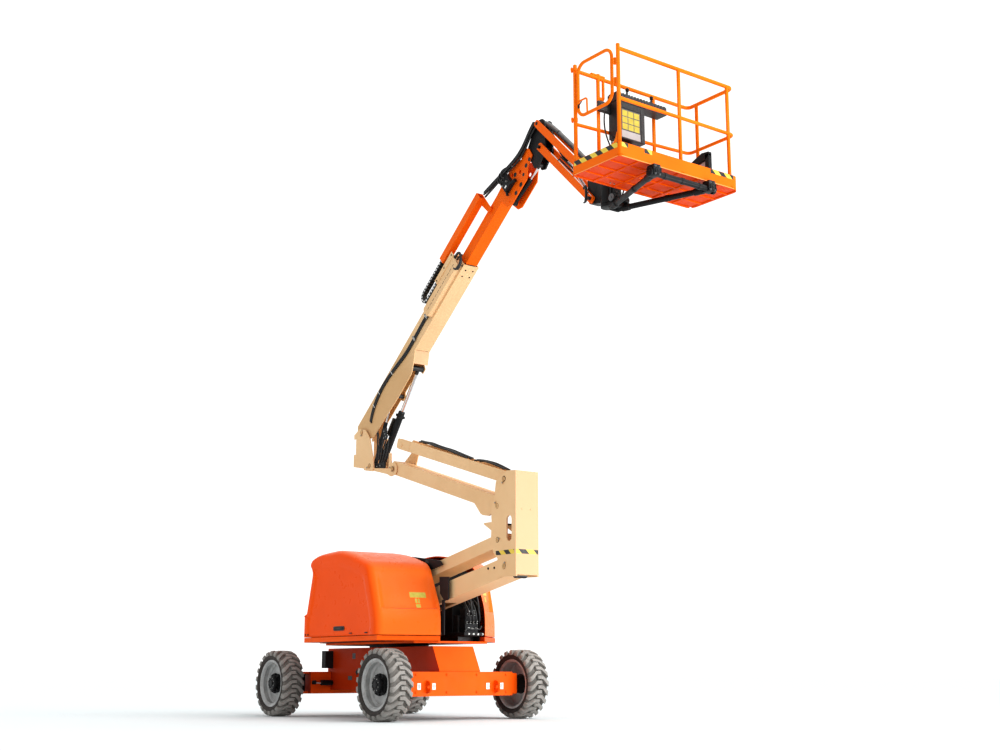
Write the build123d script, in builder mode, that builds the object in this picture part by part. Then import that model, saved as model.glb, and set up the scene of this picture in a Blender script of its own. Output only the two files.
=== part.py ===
from build123d import *
import os
from math import cos, sin, radians, hypot

os.makedirs("parts", exist_ok=True)

# Driving dimensions, in millimetres and degrees. X points along the boom towards
# the platform, Y to the left, Z up, with the origin on the ground under the swing axis.
TYRE_R, TYRE_W = 420.0, 305.0          # outer radius and width of a tyre
RIM_R = 286.7                          # barrel radius of a rim under its tyre
FIXED_X, STEER_X = 1245.0, -1330.0     # the two axles
WHEEL_Y = 995.5                        # half of the track
KING_Y = 700.0                         # kingpin offset from the centre line
SPINDLE_R = 55.0
AXLE_Z0, AXLE_Z1 = 285.0, 567.0        # bottom and top of the axle beams
FRAME_Y, FRAME_TOP = 300.0, 870.0      # half width and top of the chassis box
DECK_Z0, DECK_Z1 = 905.0, 930.0        # turntable deck
TRAY_TOP, HOOD_Z = 990.0, 996.0        # side trays and the hoods' lower edge
HOOD_T = 8.0                           # hood wall
NEAR_IN, NEAR_OUT = -220.0, -1000.0    # inner and outer Y of the right hood
FAR_IN, FAR_OUT = 490.0, 1000.0        # inner and outer Y of the left hood
T1 = (-390.0, 1200.0)                  # lower boom pin on the turntable
A0 = (2454.0, 1755.0)                  # lower boom pin on the lower upright
B0 = (2330.0, 2066.0)                  # lower link pin on the lower upright
A1 = (2319.0, 2461.0)                  # upper boom pin on the lower upright
B1 = (2455.0, 2767.0)                  # upper link pin on the lower upright
C1 = (0.0, 3170.0)                     # upper boom pin on the upper upright
M = (-800.0, 3770.0)                   # main boom pin on the upper upright
L0 = (-580.0, 3280.0)                  # base pin of the lift and levelling cylinders
E0 = (-150.0, 1005.0)                  # base pin of the tower cylinder
BOOM_ANGLE = 39.0                      # main boom above level
JIB_ANGLE, JIB_LENGTH = -45.0, 1280.0  # jib below level, and its pin distance
JIB_EYE_AT = 1100.0                    # jib cylinder eye along the lower jib arm
BASE_LENGTH = 2980.0                   # main boom base from its pin to its mouth
BOOM_Y, BOOM_WALL = 115.0, 10.0        # half width and wall of the main boom base
BOOM_LO, BOOM_HI = -65.0, 185.0        # its bottom and top across the pin line
FLY_Y, FLY_LO, FLY_HI = 85.0, -50.0, 100.0
FLY_TAIL = 2110.0                      # tail of the fly inside the base
P_SN = (4638.0, -37.0)                 # jib knuckle pin along and across the boom
K1 = (3080.0, 6690.0)                  # lower jib pin on the knuckle
K2 = (3060.0, 6990.0)                  # upper jib pin on the knuckle
ROTATE_X = 4180.0                      # platform rotator axis
PLAT_X0, PLAT_X1, PLAT_Y = 4600.0, 5350.0, 875.0
PLAT_Z, TOE_H, RAIL_TOP = 5690.0, 158.0, 6910.0
RAIL_R = 21.0
RUN = 0.05                             # running clearance of a pin in its bore

D1 = (C1[0] + B1[0] - A1[0], C1[1] + B1[1] - A1[1])
T2 = (T1[0] + B0[0] - A0[0], T1[1] + B0[1] - A0[1])


def along(origin, angle, up=1.0):
    # Maps distances along and across a straight member to X and Z.
    c, s = cos(radians(angle)), sin(radians(angle))
    return lambda a, b: (origin[0] + a * c - up * b * s, origin[1] + a * s + up * b * c)


def bearing(p, q):
    from math import atan2, degrees
    return degrees(atan2(q[1] - p[1], q[0] - p[0]))


def side(y):
    # A plane parallel to the machine's side, whose sketch axes are X and Z.
    return Plane(origin=(0, y, 0), x_dir=(1, 0, 0), z_dir=(0, -1, 0))


def plate(pts, y0, y1, mode=Mode.ADD):
    # A plate of the given side outline between two Y values.
    with BuildSketch(side(y1)) as sk:
        with BuildLine():
            Polyline(*pts, close=True)
        make_face()
    extrude(sk.sketch, amount=y1 - y0, mode=mode)


def pair(pts, y0, y1, mode=Mode.ADD):
    plate(pts, y0, y1, mode)
    plate(pts, -y1, -y0, mode)


def cross(p, r, y0, y1, mode=Mode.ADD):
    # A round bar or bore along Y through the point p.
    with BuildSketch(side(y1)) as sk:
        with Locations(p):
            Circle(r)
    extrude(sk.sketch, amount=y1 - y0, mode=mode)


def rod(p, q, y, r, mode=Mode.ADD):
    # A round bar in the side plane from p to q.
    d = Vector(q[0] - p[0], 0, q[1] - p[1])
    with BuildSketch(Plane(origin=(p[0], y, p[1]), x_dir=(0, 1, 0), z_dir=d)) as sk:
        Circle(r)
    extrude(sk.sketch, amount=d.length, mode=mode)


def bar(p, q, r, mode=Mode.ADD):
    # A round tube in space from p to q, with round ends.
    d = Vector(*q) - Vector(*p)
    with BuildSketch(Plane(origin=p, z_dir=d)) as sk:
        Circle(r)
    extrude(sk.sketch, amount=d.length, mode=mode)
    with Locations(p, q):
        Sphere(r, mode=mode)


def flat(pts, z0, z1, mode=Mode.ADD):
    # A plate of the given plan outline between two heights.
    with BuildSketch(Plane.XY.offset(z0)) as sk:
        with BuildLine():
            Polyline(*pts, close=True)
        make_face()
    extrude(sk.sketch, amount=z1 - z0, mode=mode)


def block(x0, x1, y0, y1, z0, z1, mode=Mode.ADD):
    with Locations(((x0 + x1) / 2, (y0 + y1) / 2, (z0 + z1) / 2)):
        Box(x1 - x0, y1 - y0, z1 - z0, mode=mode)


def post(x, y, r, z0, z1, mode=Mode.ADD):
    with BuildSketch(Plane.XY.offset(z0)) as sk:
        with Locations((x, y)):
            Circle(r)
    extrude(sk.sketch, amount=z1 - z0, mode=mode)


def box_of(f, a0, a1, b0, b1):
    return [f(a0, b0), f(a1, b0), f(a1, b1), f(a0, b1)]


def tube(pts, bend, r):
    # A bent round tube through the points.
    with BuildLine() as path:
        FilletPolyline(*pts, radius=bend)
    with BuildSketch(Plane(origin=path.line @ 0, z_dir=path.line % 0)) as ring:
        Circle(r)
    sweep(ring.sketch, path=path.line)


def spread(sy, a, b):
    # A Y interval on the left (sy = 1) or right (sy = -1) side.
    return tuple(sorted((sy * a, sy * b)))


def keep(builder, name):
    builder.part.label = name
    export_step(builder.part, "parts/" + name + ".step")


# ---------------------------------------------------------------- chassis
with BuildPart() as chassis_frame:
    plate([(-1290, FRAME_TOP), (1210, FRAME_TOP), (1360, 580), (1360, AXLE_Z1), (1119, AXLE_Z1), (1119, 335), (-1209, 335), (-1209, AXLE_Z1), (-1290, AXLE_Z1)], -FRAME_Y, FRAME_Y)
    for sy in (-1, 1):
        y0, y1 = spread(sy, 188, 212)
        plate([(-1290, 600), (-1290, 740), (-1350, 728), (-1374, 700), (-1374, 640), (-1350, 612)], y0, y1)
        cross((-1335, 670), 25, y0, y1, Mode.SUBTRACT)
keep(chassis_frame, "chassis_frame")

with BuildPart() as swing_bearing:
    post(0, 0, 380, FRAME_TOP, DECK_Z0 - 2)
    post(0, 0, 300, FRAME_TOP, DECK_Z0 - 2, Mode.SUBTRACT)
keep(swing_bearing, "swing_bearing")

with BuildPart() as drive_axle:
    block(1119, 1400, -760, 760, AXLE_Z0, AXLE_Z1)
    for sy in (-1, 1):
        y0, y1 = spread(sy, 755, 835)
        cross((FIXED_X, TYRE_R), 130, y0, y1)
        y0, y1 = spread(sy, 830, 1000)
        cross((FIXED_X, TYRE_R), SPINDLE_R, y0, y1)
        y0, y1 = spread(sy, 488, 512)
        plate([(1400, 320), (1460, 332), (1484, 360), (1484, 427), (1460, 455), (1400, 467)], y0, y1)
        cross((1445, 393), 25, y0, y1, Mode.SUBTRACT)
keep(drive_axle, "drive_axle")

with BuildPart() as steer_axle:
    block(-1400, -1209, -600, 600, AXLE_Z0, AXLE_Z1)
    for sy in (-1, 1):
        for z in (AXLE_Z0, AXLE_Z1 - 27):
            with BuildSketch(Plane.XY.offset(z)) as ear:
                with Locations((STEER_X, sy * (KING_Y - 55))):
                    Rectangle(110, 110)
                with Locations((STEER_X, sy * KING_Y)):
                    Circle(55)
                    Circle(25 + RUN, mode=Mode.SUBTRACT)
            extrude(ear.sketch, amount=27)
keep(steer_axle, "steer_axle")

with BuildPart() as axle_control_box:
    block(-1250, -1150, -420, -FRAME_Y, 613, 838)
keep(axle_control_box, "axle_control_box")

for tag, sy in (("left", 1), ("right", -1)):
    with BuildPart() as knuckle:
        y0, y1 = spread(sy, 650, 776)
        block(STEER_X - 60, STEER_X + 60, y0, y1, 318, 534)
        post(STEER_X, sy * KING_Y, 25, AXLE_Z0, AXLE_Z1)
        y0, y1 = spread(sy, 775, 835)
        cross((STEER_X, TYRE_R), 130, y0, y1)
        y0, y1 = spread(sy, 830, 1000)
        cross((STEER_X, TYRE_R), SPINDLE_R, y0, y1)
        y0, y1 = spread(sy, KING_Y - 22, KING_Y + 22)
        block(-1585, STEER_X, y0, y1, 320, 342)
        post(-1560, sy * KING_Y, 12 + RUN, 310, 350, Mode.SUBTRACT)
    keep(knuckle, "steer_knuckle_" + tag)

with BuildPart() as tie_rod:
    with BuildSketch(Plane.XZ.offset(690)) as bar_end:
        with Locations((-1560, 365)):
            Circle(16)
    extrude(bar_end.sketch, amount=-1380)
    for sy in (-1, 1):
        post(-1560, sy * KING_Y, 24, 347, 384)
        post(-1560, sy * KING_Y, 12, 320, 350)
keep(tie_rod, "tie_rod")

TYRE_PROFILE = [(287, -115), (305, -115), (345, -152), (385, -152), (412, -135), (420, -100), (420, 100), (412, 135), (385, 152), (345, 152), (305, 115), (287, 115)]
RIM_PROFILE = [(0, 66.5), (110, 66.5), (110, 27), (236, 27), (258, 46), (262, 106), (276, 130), (300, 130), (300, 117), (RIM_R, 117), (RIM_R, -117), (300, -117), (300, -130), (276, -130), (262, -106), (262, 15), (240, 13), (110, 13), (110, -100.5), (SPINDLE_R + RUN, -100.5), (SPINDLE_R + RUN, 9.5), (0, 9.5)]
for tag, x, sy in (("drive_left", FIXED_X, 1), ("drive_right", FIXED_X, -1), ("steer_left", STEER_X, 1), ("steer_right", STEER_X, -1)):
    hub = Plane(origin=(x, sy * WHEEL_Y, TYRE_R), x_dir=(1, 0, 0), z_dir=(0, 0, 1))
    turn = Axis((x, 0, TYRE_R), (0, 1, 0))
    with BuildPart() as tyre:
        with BuildSketch(hub):
            with BuildLine():
                Polyline(*[(r, sy * y) for r, y in TYRE_PROFILE], close=True)
            make_face()
        revolve(axis=turn)
    keep(tyre, "tyre_" + tag)
    with BuildPart() as rim:
        with BuildSketch(hub):
            with BuildLine():
                Polyline(*[(r, sy * y) for r, y in RIM_PROFILE], close=True)
            make_face()
        revolve(axis=turn)
    keep(rim, "rim_" + tag)

# ---------------------------------------------------------------- turntable
with BuildPart() as turntable_deck:
    flat([(-700, -520), (1130, -520), (1215, -215), (1200, 520), (-700, 520), (-1010, 500), (-1120, 240), (-1120, -240), (-1010, -500)], DECK_Z0, DECK_Z1)
    post(0, 0, 295, FRAME_TOP + 2, DECK_Z0 + 5)
keep(turntable_deck, "turntable_deck")

with BuildPart() as side_trays:
    flat([(-712, -992), (1052, -992), (1250, -216), (-712, -216)], DECK_Z1, TRAY_TOP)
    flat([(-712, 992), (732, 992), (1188, 492), (-712, 492)], DECK_Z1, TRAY_TOP)
keep(side_trays, "side_trays")

with BuildPart() as counterweight:
    flat([(-735, 640), (-1000, 600), (-1150, 250), (-1150, -250), (-1000, -600), (-735, -640)], DECK_Z1, 1500)
keep(counterweight, "counterweight")

with BuildPart() as tower_bracket:
    pair([(-660, DECK_Z1), (-230, DECK_Z1), (-262, 1300), (-410, 1620), (-440, 1640), (-590, 1640), (-620, 1610), (-660, 1300)], 156, 180)
    block(-660, -645, -156, 156, DECK_Z1, 1250)
    cross(T1, 30, -186, 186)
    cross(T2, 25, -186, 186)
    pair([(-220, DECK_Z1), (-80, DECK_Z1), (-110, 1040), (-190, 1040)], 55, 75)
    cross(E0, 22, -79, 79)
keep(tower_bracket, "tower_bracket")

with BuildPart() as hood_bulkheads:
    plate([(-600, DECK_Z1), (1150, DECK_Z1), (1170, 1330), (960, 1780), (420, 1930), (340, 1975), (-340, 1975), (-420, 1930), (-500, 1830), (-610, 1330)], -212, -200)
    plate([(-600, DECK_Z1), (1090, DECK_Z1), (1110, 1330), (900, 1780), (420, 1930), (340, 1975), (-340, 1975), (-420, 1930), (-500, 1830), (-610, 1330)], 470, 482)
    for y in (-206, 476):
        with BuildSketch(Plane(origin=(-330, y, 1985), x_dir=(0, 1, 0), z_dir=(1, 0, 0))) as eye:
            Circle(11)
        extrude(eye.sketch, amount=660)
keep(hood_bulkheads, "hood_bulkheads")

with BuildPart() as battery_packs:
    block(-480, 850, -880, -300, TRAY_TOP, 1450)
    block(-450, 560, 560, 880, TRAY_TOP, 1400)
    block(450, 1000, 215, 455, DECK_Z1, 1250)
keep(battery_packs, "battery_packs")

# Each hood runs straight from its outer side outline to its inner one, and is hollow
# from below and from the boom's side.
HOOD_BACK = [(-720, 900), (-720, 1280), (-662, 1294), (-530, 1812), (-611, 1908), (-560, 1972), (-393, 2023), (-150, 2052), (113, 2061)]
HOOD_FRONT = {
    "right": ([(480, 1975), (842, 1849), (1010, 1370), (1060, 1200), (1060, 900)], [(560, 2000), (1000, 1862), (1240, 1345), (1262, 1200), (1262, 900)]),
    "left": ([(300, 2005), (560, 1915), (700, 1370), (740, 1200), (740, 900)], [(540, 2000), (960, 1868), (1180, 1350), (1200, 1200), (1200, 900)]),
}
for tag, y_in, y_out in (("right", NEAR_IN, NEAR_OUT), ("left", FAR_IN, FAR_OUT)):
    sgn = 1 if y_in > y_out else -1
    outer, inner = HOOD_FRONT[tag]
    with BuildPart() as hood:
        with BuildSketch(side(y_out)) as far_side:
            with BuildLine():
                Polyline(*HOOD_BACK, *outer, close=True)
            make_face()
        with BuildSketch(side(y_in)) as near_side:
            with BuildLine():
                Polyline(*HOOD_BACK, *inner, close=True)
            make_face()
        loft([far_side.sketch, near_side.sketch], ruled=True)
        with BuildSketch(side(y_out + sgn * HOOD_T)) as far_core:
            with BuildLine():
                Polyline(*HOOD_BACK, *outer, close=True)
            make_face()
            offset(amount=-HOOD_T, kind=Kind.INTERSECTION, mode=Mode.REPLACE)
        with BuildSketch(side(y_in + sgn * 2)) as near_core:
            with BuildLine():
                Polyline(*HOOD_BACK, *inner, close=True)
            make_face()
            offset(amount=-HOOD_T, kind=Kind.INTERSECTION, mode=Mode.REPLACE)
        loft([far_core.sketch, near_core.sketch], ruled=True, mode=Mode.SUBTRACT)
        block(-2000, 2000, -1500, 1500, 700, HOOD_Z, Mode.SUBTRACT)
    keep(hood, "hood_" + tag)

# ---------------------------------------------------------------- lower arms
LOWER = along(T1, bearing(T1, A0))
LOWER_LINK = along(T2, bearing(T1, A0))
ARM = hypot(A0[0] - T1[0], A0[1] - T1[1])
with BuildPart() as lower_boom:
    plate([LOWER(a, b) for a, b in ((-90, -70), (-60, -109), (ARM + 40, -109), (ARM + 92, -60), (ARM + 92, 60), (ARM + 40, 109), (-60, 109), (-90, 70))], -140, 140)
    plate(box_of(LOWER, 150, ARM - 140, -99, 99), -130, 130, Mode.SUBTRACT)
    plate(box_of(LOWER, 150, 1560, -120, -90), -80, 80, Mode.SUBTRACT)
    plate(box_of(LOWER, -120, 160, -120, -45), -80, 80, Mode.SUBTRACT)
    cross(T1, 30 + RUN, -150, 150, Mode.SUBTRACT)
    cross(A0, 30 + RUN, -150, 150, Mode.SUBTRACT)
keep(lower_boom, "lower_boom")

with BuildPart() as lower_link:
    plate([LOWER_LINK(a, b) for a, b in ((-72, -46), (-48, -74), (ARM + 40, -74), (ARM + 70, -45), (ARM + 70, 45), (ARM + 40, 74), (-48, 74), (-72, 46))], -140, 140)
    plate(box_of(LOWER_LINK, 130, ARM - 120, -66, 66), -132, 132, Mode.SUBTRACT)
    cross(T2, 25 + RUN, -150, 150, Mode.SUBTRACT)
    cross(B0, 25 + RUN, -150, 150, Mode.SUBTRACT)
keep(lower_link, "lower_link")

TOWER_EYE = LOWER(1250, -60)
tower_axis = along(E0, bearing(E0, TOWER_EYE))
TOWER_CYL = hypot(TOWER_EYE[0] - E0[0], TOWER_EYE[1] - E0[1])
with BuildPart() as tower_cylinder:
    cross(E0, 42, -48, 48)
    rod(E0, tower_axis(760, 0), 0, 48)
    rod(tower_axis(100, 0), tower_axis(780, 0), 0, 28 + RUN, Mode.SUBTRACT)
    cross(E0, 22 + RUN, -60, 60, Mode.SUBTRACT)
keep(tower_cylinder, "tower_cylinder")
with BuildPart() as tower_rod:
    rod(tower_axis(TOWER_CYL - 800, 0), tower_axis(TOWER_CYL, 0), 0, 28)
    cross(TOWER_EYE, 36, -60, 60)
keep(tower_rod, "tower_rod")

# ---------------------------------------------------------------- lower upright
with BuildPart() as lower_upright:
    pair([(2680, 1630), (2680, 2845), (2507, 2858), (2297, 2751), (2271, 2583), (2205, 2413), (2215, 2284), (2060, 2284), (2060, 2268), (2208, 2185), (2205, 2108), (2245, 1930), (2330, 1850), (2340, 1640)], 146, 166)
    for y in (-166, 146):
        with BuildSketch(side(y + 20)) as slot:
            with Locations((2553, 2185)):
                SlotOverall(296, 96, rotation=90)
        extrude(slot.sketch, amount=20, mode=Mode.SUBTRACT)
    block(2655, 2680, -146, 146, 1650, 2845)
    cross(A0, 30, -172, 172)
    cross(B0, 25, -172, 172)
    cross(A1, 30, -172, 172)
    cross(B1, 25, -172, 172)
keep(lower_upright, "lower_upright")

with BuildPart() as rest_pad:
    block(2064, 2195, -146, 146, 2266, 2284)
keep(rest_pad, "rest_pad")

# ---------------------------------------------------------------- upper arms
UPPER = along(A1, bearing(A1, C1), up=-1.0)
UPPER_LINK = along(B1, bearing(A1, C1), up=-1.0)
REACH = hypot(C1[0] - A1[0], C1[1] - A1[1])
with BuildPart() as upper_boom:
    plate([UPPER(a, b) for a, b in ((-75, -69), (REACH + 50, -69), (REACH + 80, -35), (REACH + 80, 55), (REACH + 45, 102), (-65, 102), (-98, 60), (-98, -40))], -118, 118)
    plate(box_of(UPPER, 130, REACH - 110, -59, 92), -108, 108, Mode.SUBTRACT)
    pair([(1790, 2560), (1925, 2412), (1974, 2387), (2095, 2368), (2195, 2415), (2225, 2470), (2120, 2545), (1960, 2590)], 100, 118)
    cross(A1, 30 + RUN, -150, 150, Mode.SUBTRACT)
    cross(C1, 30 + RUN, -150, 150, Mode.SUBTRACT)
keep(upper_boom, "upper_boom")

with BuildPart() as upper_link:
    plate([UPPER_LINK(a, b) for a, b in ((-40, -60), (REACH + 35, -60), (REACH + 58, -30), (REACH + 58, 50), (REACH + 30, 80), (-40, 80), (-66, 40), (-66, -30))], -99, 99)
    plate(box_of(UPPER_LINK, -100, REACH + 100, -48, 120), -88, 88, Mode.SUBTRACT)
    cross(B1, 25 + RUN, -150, 150, Mode.SUBTRACT)
    cross(D1, 22 + RUN, -150, 150, Mode.SUBTRACT)
keep(upper_link, "upper_link")

# ---------------------------------------------------------------- upper upright
with BuildPart() as upper_upright:
    pair([(-994, 3312), (-994, 3756), (-856, 3822), (-704, 3790), (-580, 3653), (-493, 3371), (-477, 3235), (-494, 3196), (-671, 3226), (-721, 3259)], 136, 150)
    block(-1000, -940, -160, 160, 3480, 3695, Mode.SUBTRACT)
    plate([(-740, 3240), (-740, 3330), (-480, 3330), (-150, 3290), (30, 3400), (50, 3500), (80, 3525), (190, 3525), (215, 3500), (225, 3420), (110, 3120), (80, 3095), (-60, 3080), (-150, 3120), (-480, 3200)], 124, 136)
    plate([(-740, 3240), (-740, 3330), (-498, 3330), (-480, 3240), (-118, 3192), (-112, 3395), (-56, 3388), (-52, 3262), (40, 3250), (82, 3200), (82, 3130), (45, 3092), (-60, 3080), (-150, 3120), (-480, 3200)], -136, -124)
    block(-980, -965, -136, 136, 3320, 3460)
    cross(M, 30, -156, 156)
    cross(L0, 25, -154, 154)
    cross(C1, 30, -140, 140)
    cross(D1, 22, -108, 140)
keep(upper_upright, "upper_upright")

# ---------------------------------------------------------------- main boom
BOOM = along(M, BOOM_ANGLE)
BELLY = [(-60, BOOM_HI), (BASE_LENGTH, BOOM_HI), (BASE_LENGTH, BOOM_LO), (1560, BOOM_LO), (1400, -193), (1300, -255), (1030, -262), (808, -262), (614, -250), (150, -240), (-40, -130), (-110, -60), (-110, 120)]
with BuildPart() as main_boom:
    plate([BOOM(a, b) for a, b in BELLY], -BOOM_Y, BOOM_Y)
    plate(box_of(BOOM, -200, BASE_LENGTH + 50, BOOM_LO + 8, BOOM_HI - 8), BOOM_WALL - BOOM_Y, BOOM_Y - BOOM_WALL, Mode.SUBTRACT)
    plate(box_of(BOOM, -200, 1560, -400, 0), BOOM_WALL - BOOM_Y, BOOM_Y - BOOM_WALL, Mode.SUBTRACT)
    plate(box_of(BOOM, 110, 1560, -400, BOOM_LO), 0, BOOM_Y + 10, Mode.SUBTRACT)
    for a in (766, 1316):
        plate([BOOM(a - 75, BOOM_LO + 10), BOOM(a - 40, -185 if a > 1000 else -120), BOOM(a + 40, -185 if a > 1000 else -120), BOOM(a + 75, BOOM_LO + 10)], BOOM_Y - BOOM_WALL, BOOM_Y)
    cross(M, 30 + RUN, -150, 150, Mode.SUBTRACT)
keep(main_boom, "main_boom")

with BuildPart() as hose_cover:
    plate([BOOM(a, b) for a, b in ((2080, -20), (2100, -40), (2950, -40), (2950, 120), (2100, 120), (2080, 100))], -190, -BOOM_Y)
    plate([BOOM(a, b) for a, b in ((2070, -34), (2944, -34), (2944, 114), (2070, 114))], -184, -BOOM_Y - 4, Mode.SUBTRACT)
keep(hose_cover, "hose_cover")

with BuildPart() as chain_channel:
    plate(box_of(BOOM, 2500, 2980, 120, 192), -200, -BOOM_Y)
    plate(box_of(BOOM, 2400, 3080, 124, 250), -196, -121, Mode.SUBTRACT)
keep(chain_channel, "chain_channel")

with BuildPart() as energy_chain:
    plate(box_of(BOOM, 2220, 3020, 270, 320), -190, -127)
    plate(box_of(BOOM, 2220, 2870, 130, 180), -190, -127)
    with BuildSketch(side(-127)) as bend:
        with Locations(BOOM(2220, 225)):
            Circle(95)
            Circle(45, mode=Mode.SUBTRACT)
        with BuildLine():
            Polyline(*box_of(BOOM, 2220, 2400, 100, 350), close=True)
        make_face(mode=Mode.SUBTRACT)
    extrude(bend.sketch, amount=63)
keep(energy_chain, "energy_chain")

LIFT_EYE = BOOM(1316, -142)
lift_axis = along(L0, bearing(L0, LIFT_EYE))
LIFT = hypot(LIFT_EYE[0] - L0[0], LIFT_EYE[1] - L0[1])
with BuildPart() as lift_cylinder:
    cross(L0, 46, -8, 78)
    rod(L0, lift_axis(850, 0), 35, 45)
    rod(lift_axis(90, 0), lift_axis(870, 0), 35, 25 + RUN, Mode.SUBTRACT)
    cross(L0, 25 + RUN, -80, 100, Mode.SUBTRACT)
keep(lift_cylinder, "lift_cylinder")
with BuildPart() as lift_rod:
    rod(lift_axis(LIFT - 1040, 0), lift_axis(LIFT, 0), 35, 25)
    cross(LIFT_EYE, 38, -98, 98)
keep(lift_rod, "lift_rod")

LEVEL_EYE = BOOM(766, -73)
level_axis = along(L0, bearing(L0, LEVEL_EYE))
LEVEL = hypot(LEVEL_EYE[0] - L0[0], LEVEL_EYE[1] - L0[1])
with BuildPart() as levelling_cylinder:
    cross(L0, 40, -88, -32)
    rod(L0, level_axis(620, 0), -60, 28)
    rod(level_axis(70, 0), level_axis(640, 0), -60, 14 + RUN, Mode.SUBTRACT)
    cross(L0, 25 + RUN, -100, 80, Mode.SUBTRACT)
keep(levelling_cylinder, "levelling_cylinder")
with BuildPart() as levelling_rod:
    rod(level_axis(LEVEL - 670, 0), level_axis(LEVEL, 0), -60, 14)
    cross(LEVEL_EYE, 28, -98, 98)
keep(levelling_rod, "levelling_rod")

# ---------------------------------------------------------------- fly boom
HEAD = [(3950, 100), (4420, 134), (4658, 115), (4711, 13), (4698, -100), (4560, -140), (4440, -250), (4060, -250), (3990, -200), (3960, -50)]
with BuildPart() as fly_boom:
    plate(box_of(BOOM, FLY_TAIL, 4050, FLY_LO, FLY_HI), -FLY_Y, FLY_Y)
    pair([BOOM(a, b) for a, b in HEAD], 73, FLY_Y)
    plate(box_of(BOOM, FLY_TAIL - 50, 4200, FLY_LO + 8, FLY_HI - 8), -73, 73, Mode.SUBTRACT)
    plate([BOOM(a, b) for a, b in ((4040, 92), (4400, 122), (4400, 132), (4040, 104))], -FLY_Y, FLY_Y)
    for a, b, r in ((4150, 20, 30), (4300, 40, 26), (4420, -60, 26), (4540, 60, 22)):
        cross(BOOM(a, b), r, -100, -70, Mode.SUBTRACT)
        cross(BOOM(a, b), r, 70, 100, Mode.SUBTRACT)
    cross(BOOM(*P_SN), 28, -92, 92)
    cross(BOOM(4050, -170), 18, -90, 90)
keep(fly_boom, "fly_boom")

with BuildPart() as boom_valve:
    plate(box_of(BOOM, 4120, 4270, -90, 110), -150, -FLY_Y)
keep(boom_valve, "boom_valve")

with BuildPart() as hose_carrier:
    plate(box_of(BOOM, 2760, 3800, 231, 335), -205, -110)
    plate(box_of(BOOM, 2700, 3850, 236, 330), -200, -115, Mode.SUBTRACT)
    plate([BOOM(a, b) for a, b in ((3700, 231), (3800, 231), (3800, 30), (3730, 30))], -118, -110)
    plate(box_of(BOOM, 3735, 3795, 40, 80), -118, -FLY_Y)
keep(hose_carrier, "hose_carrier")

SLAVE_0, SLAVE_EYE = BOOM(4050, -170), BOOM(4660, -234)
slave_axis = along(SLAVE_0, bearing(SLAVE_0, SLAVE_EYE))
SLAVE = hypot(SLAVE_EYE[0] - SLAVE_0[0], SLAVE_EYE[1] - SLAVE_0[1])
with BuildPart() as slave_cylinder:
    cross(SLAVE_0, 34, -34, 34)
    rod(SLAVE_0, slave_axis(380, 0), 0, 32)
    rod(slave_axis(60, 0), slave_axis(400, 0), 0, 16 + RUN, Mode.SUBTRACT)
    cross(SLAVE_0, 18 + RUN, -40, 40, Mode.SUBTRACT)
keep(slave_cylinder, "slave_cylinder")
with BuildPart() as slave_rod:
    rod(slave_axis(SLAVE - 420, 0), slave_axis(SLAVE, 0), 0, 16)
    cross(SLAVE_EYE, 28, -36, 36)
keep(slave_rod, "slave_rod")

# ---------------------------------------------------------------- jib
P = BOOM(*P_SN)
with BuildPart() as jib_knuckle:
    pair([(2775, 6622), (2775, 6700), (2800, 6750), (2960, 7045), (2985, 7060), (3085, 7060), (3115, 7035), (3140, 6960), (3140, 6640), (3000, 6470), (2930, 6480), (2880, 6570)], 45, 66)
    plate([(2845, 6705), (2900, 6705), (2985, 6860), (2985, 7020), (2950, 7025), (2860, 6850)], -45, 45)
    cross(P, 28 + RUN, -80, 80, Mode.SUBTRACT)
    cross(K1, 20, -132, 132)
    cross(K2, 20, -132, 132)
keep(jib_knuckle, "jib_knuckle")

JIB = along(K1, JIB_ANGLE)
JIB_LINK = along(K2, JIB_ANGLE)
J1, J2 = JIB(JIB_LENGTH, 0), JIB_LINK(JIB_LENGTH, 0)
with BuildPart() as jib_arms:
    pair([JIB(a, b) for a, b in ((-45, -30), (-30, -44), (JIB_LENGTH + 30, -44), (JIB_LENGTH + 48, -25), (JIB_LENGTH + 48, 25), (JIB_LENGTH + 30, 44), (-30, 44), (-45, 30))], 74, 99)
    cross(K1, 20 + RUN, -140, 140, Mode.SUBTRACT)
    cross(J1, 20 + RUN, -140, 140, Mode.SUBTRACT)
keep(jib_arms, "jib_arms")
with BuildPart() as jib_links:
    pair([JIB_LINK(a, b) for a, b in ((-42, -25), (-28, -37), (JIB_LENGTH + 28, -37), (JIB_LENGTH + 42, -22), (JIB_LENGTH + 42, 22), (JIB_LENGTH + 28, 37), (-28, 37), (-42, 25))], 105, 125)
    cross(K2, 20 + RUN, -140, 140, Mode.SUBTRACT)
    cross(J2, 20 + RUN, -140, 140, Mode.SUBTRACT)
keep(jib_links, "jib_links")

JIB_EYE = JIB(JIB_EYE_AT, 0)
jibcyl_axis = along(K2, bearing(K2, JIB_EYE))
JIBCYL = hypot(JIB_EYE[0] - K2[0], JIB_EYE[1] - K2[1])
with BuildPart() as jib_cylinder:
    cross(K2, 34, -38, 38)
    rod(K2, jibcyl_axis(700, 0), 0, 32)
    rod(jibcyl_axis(55, 0), jibcyl_axis(720, 0), 0, 17 + RUN, Mode.SUBTRACT)
    cross(K2, 20 + RUN, -60, 60, Mode.SUBTRACT)
keep(jib_cylinder, "jib_cylinder")
with BuildPart() as jib_rod:
    rod(jibcyl_axis(JIBCYL - 730, 0), jibcyl_axis(JIBCYL, 0), 0, 17)
    cross(JIB_EYE, 28, -62, 62)
keep(jib_rod, "jib_rod")

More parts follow.
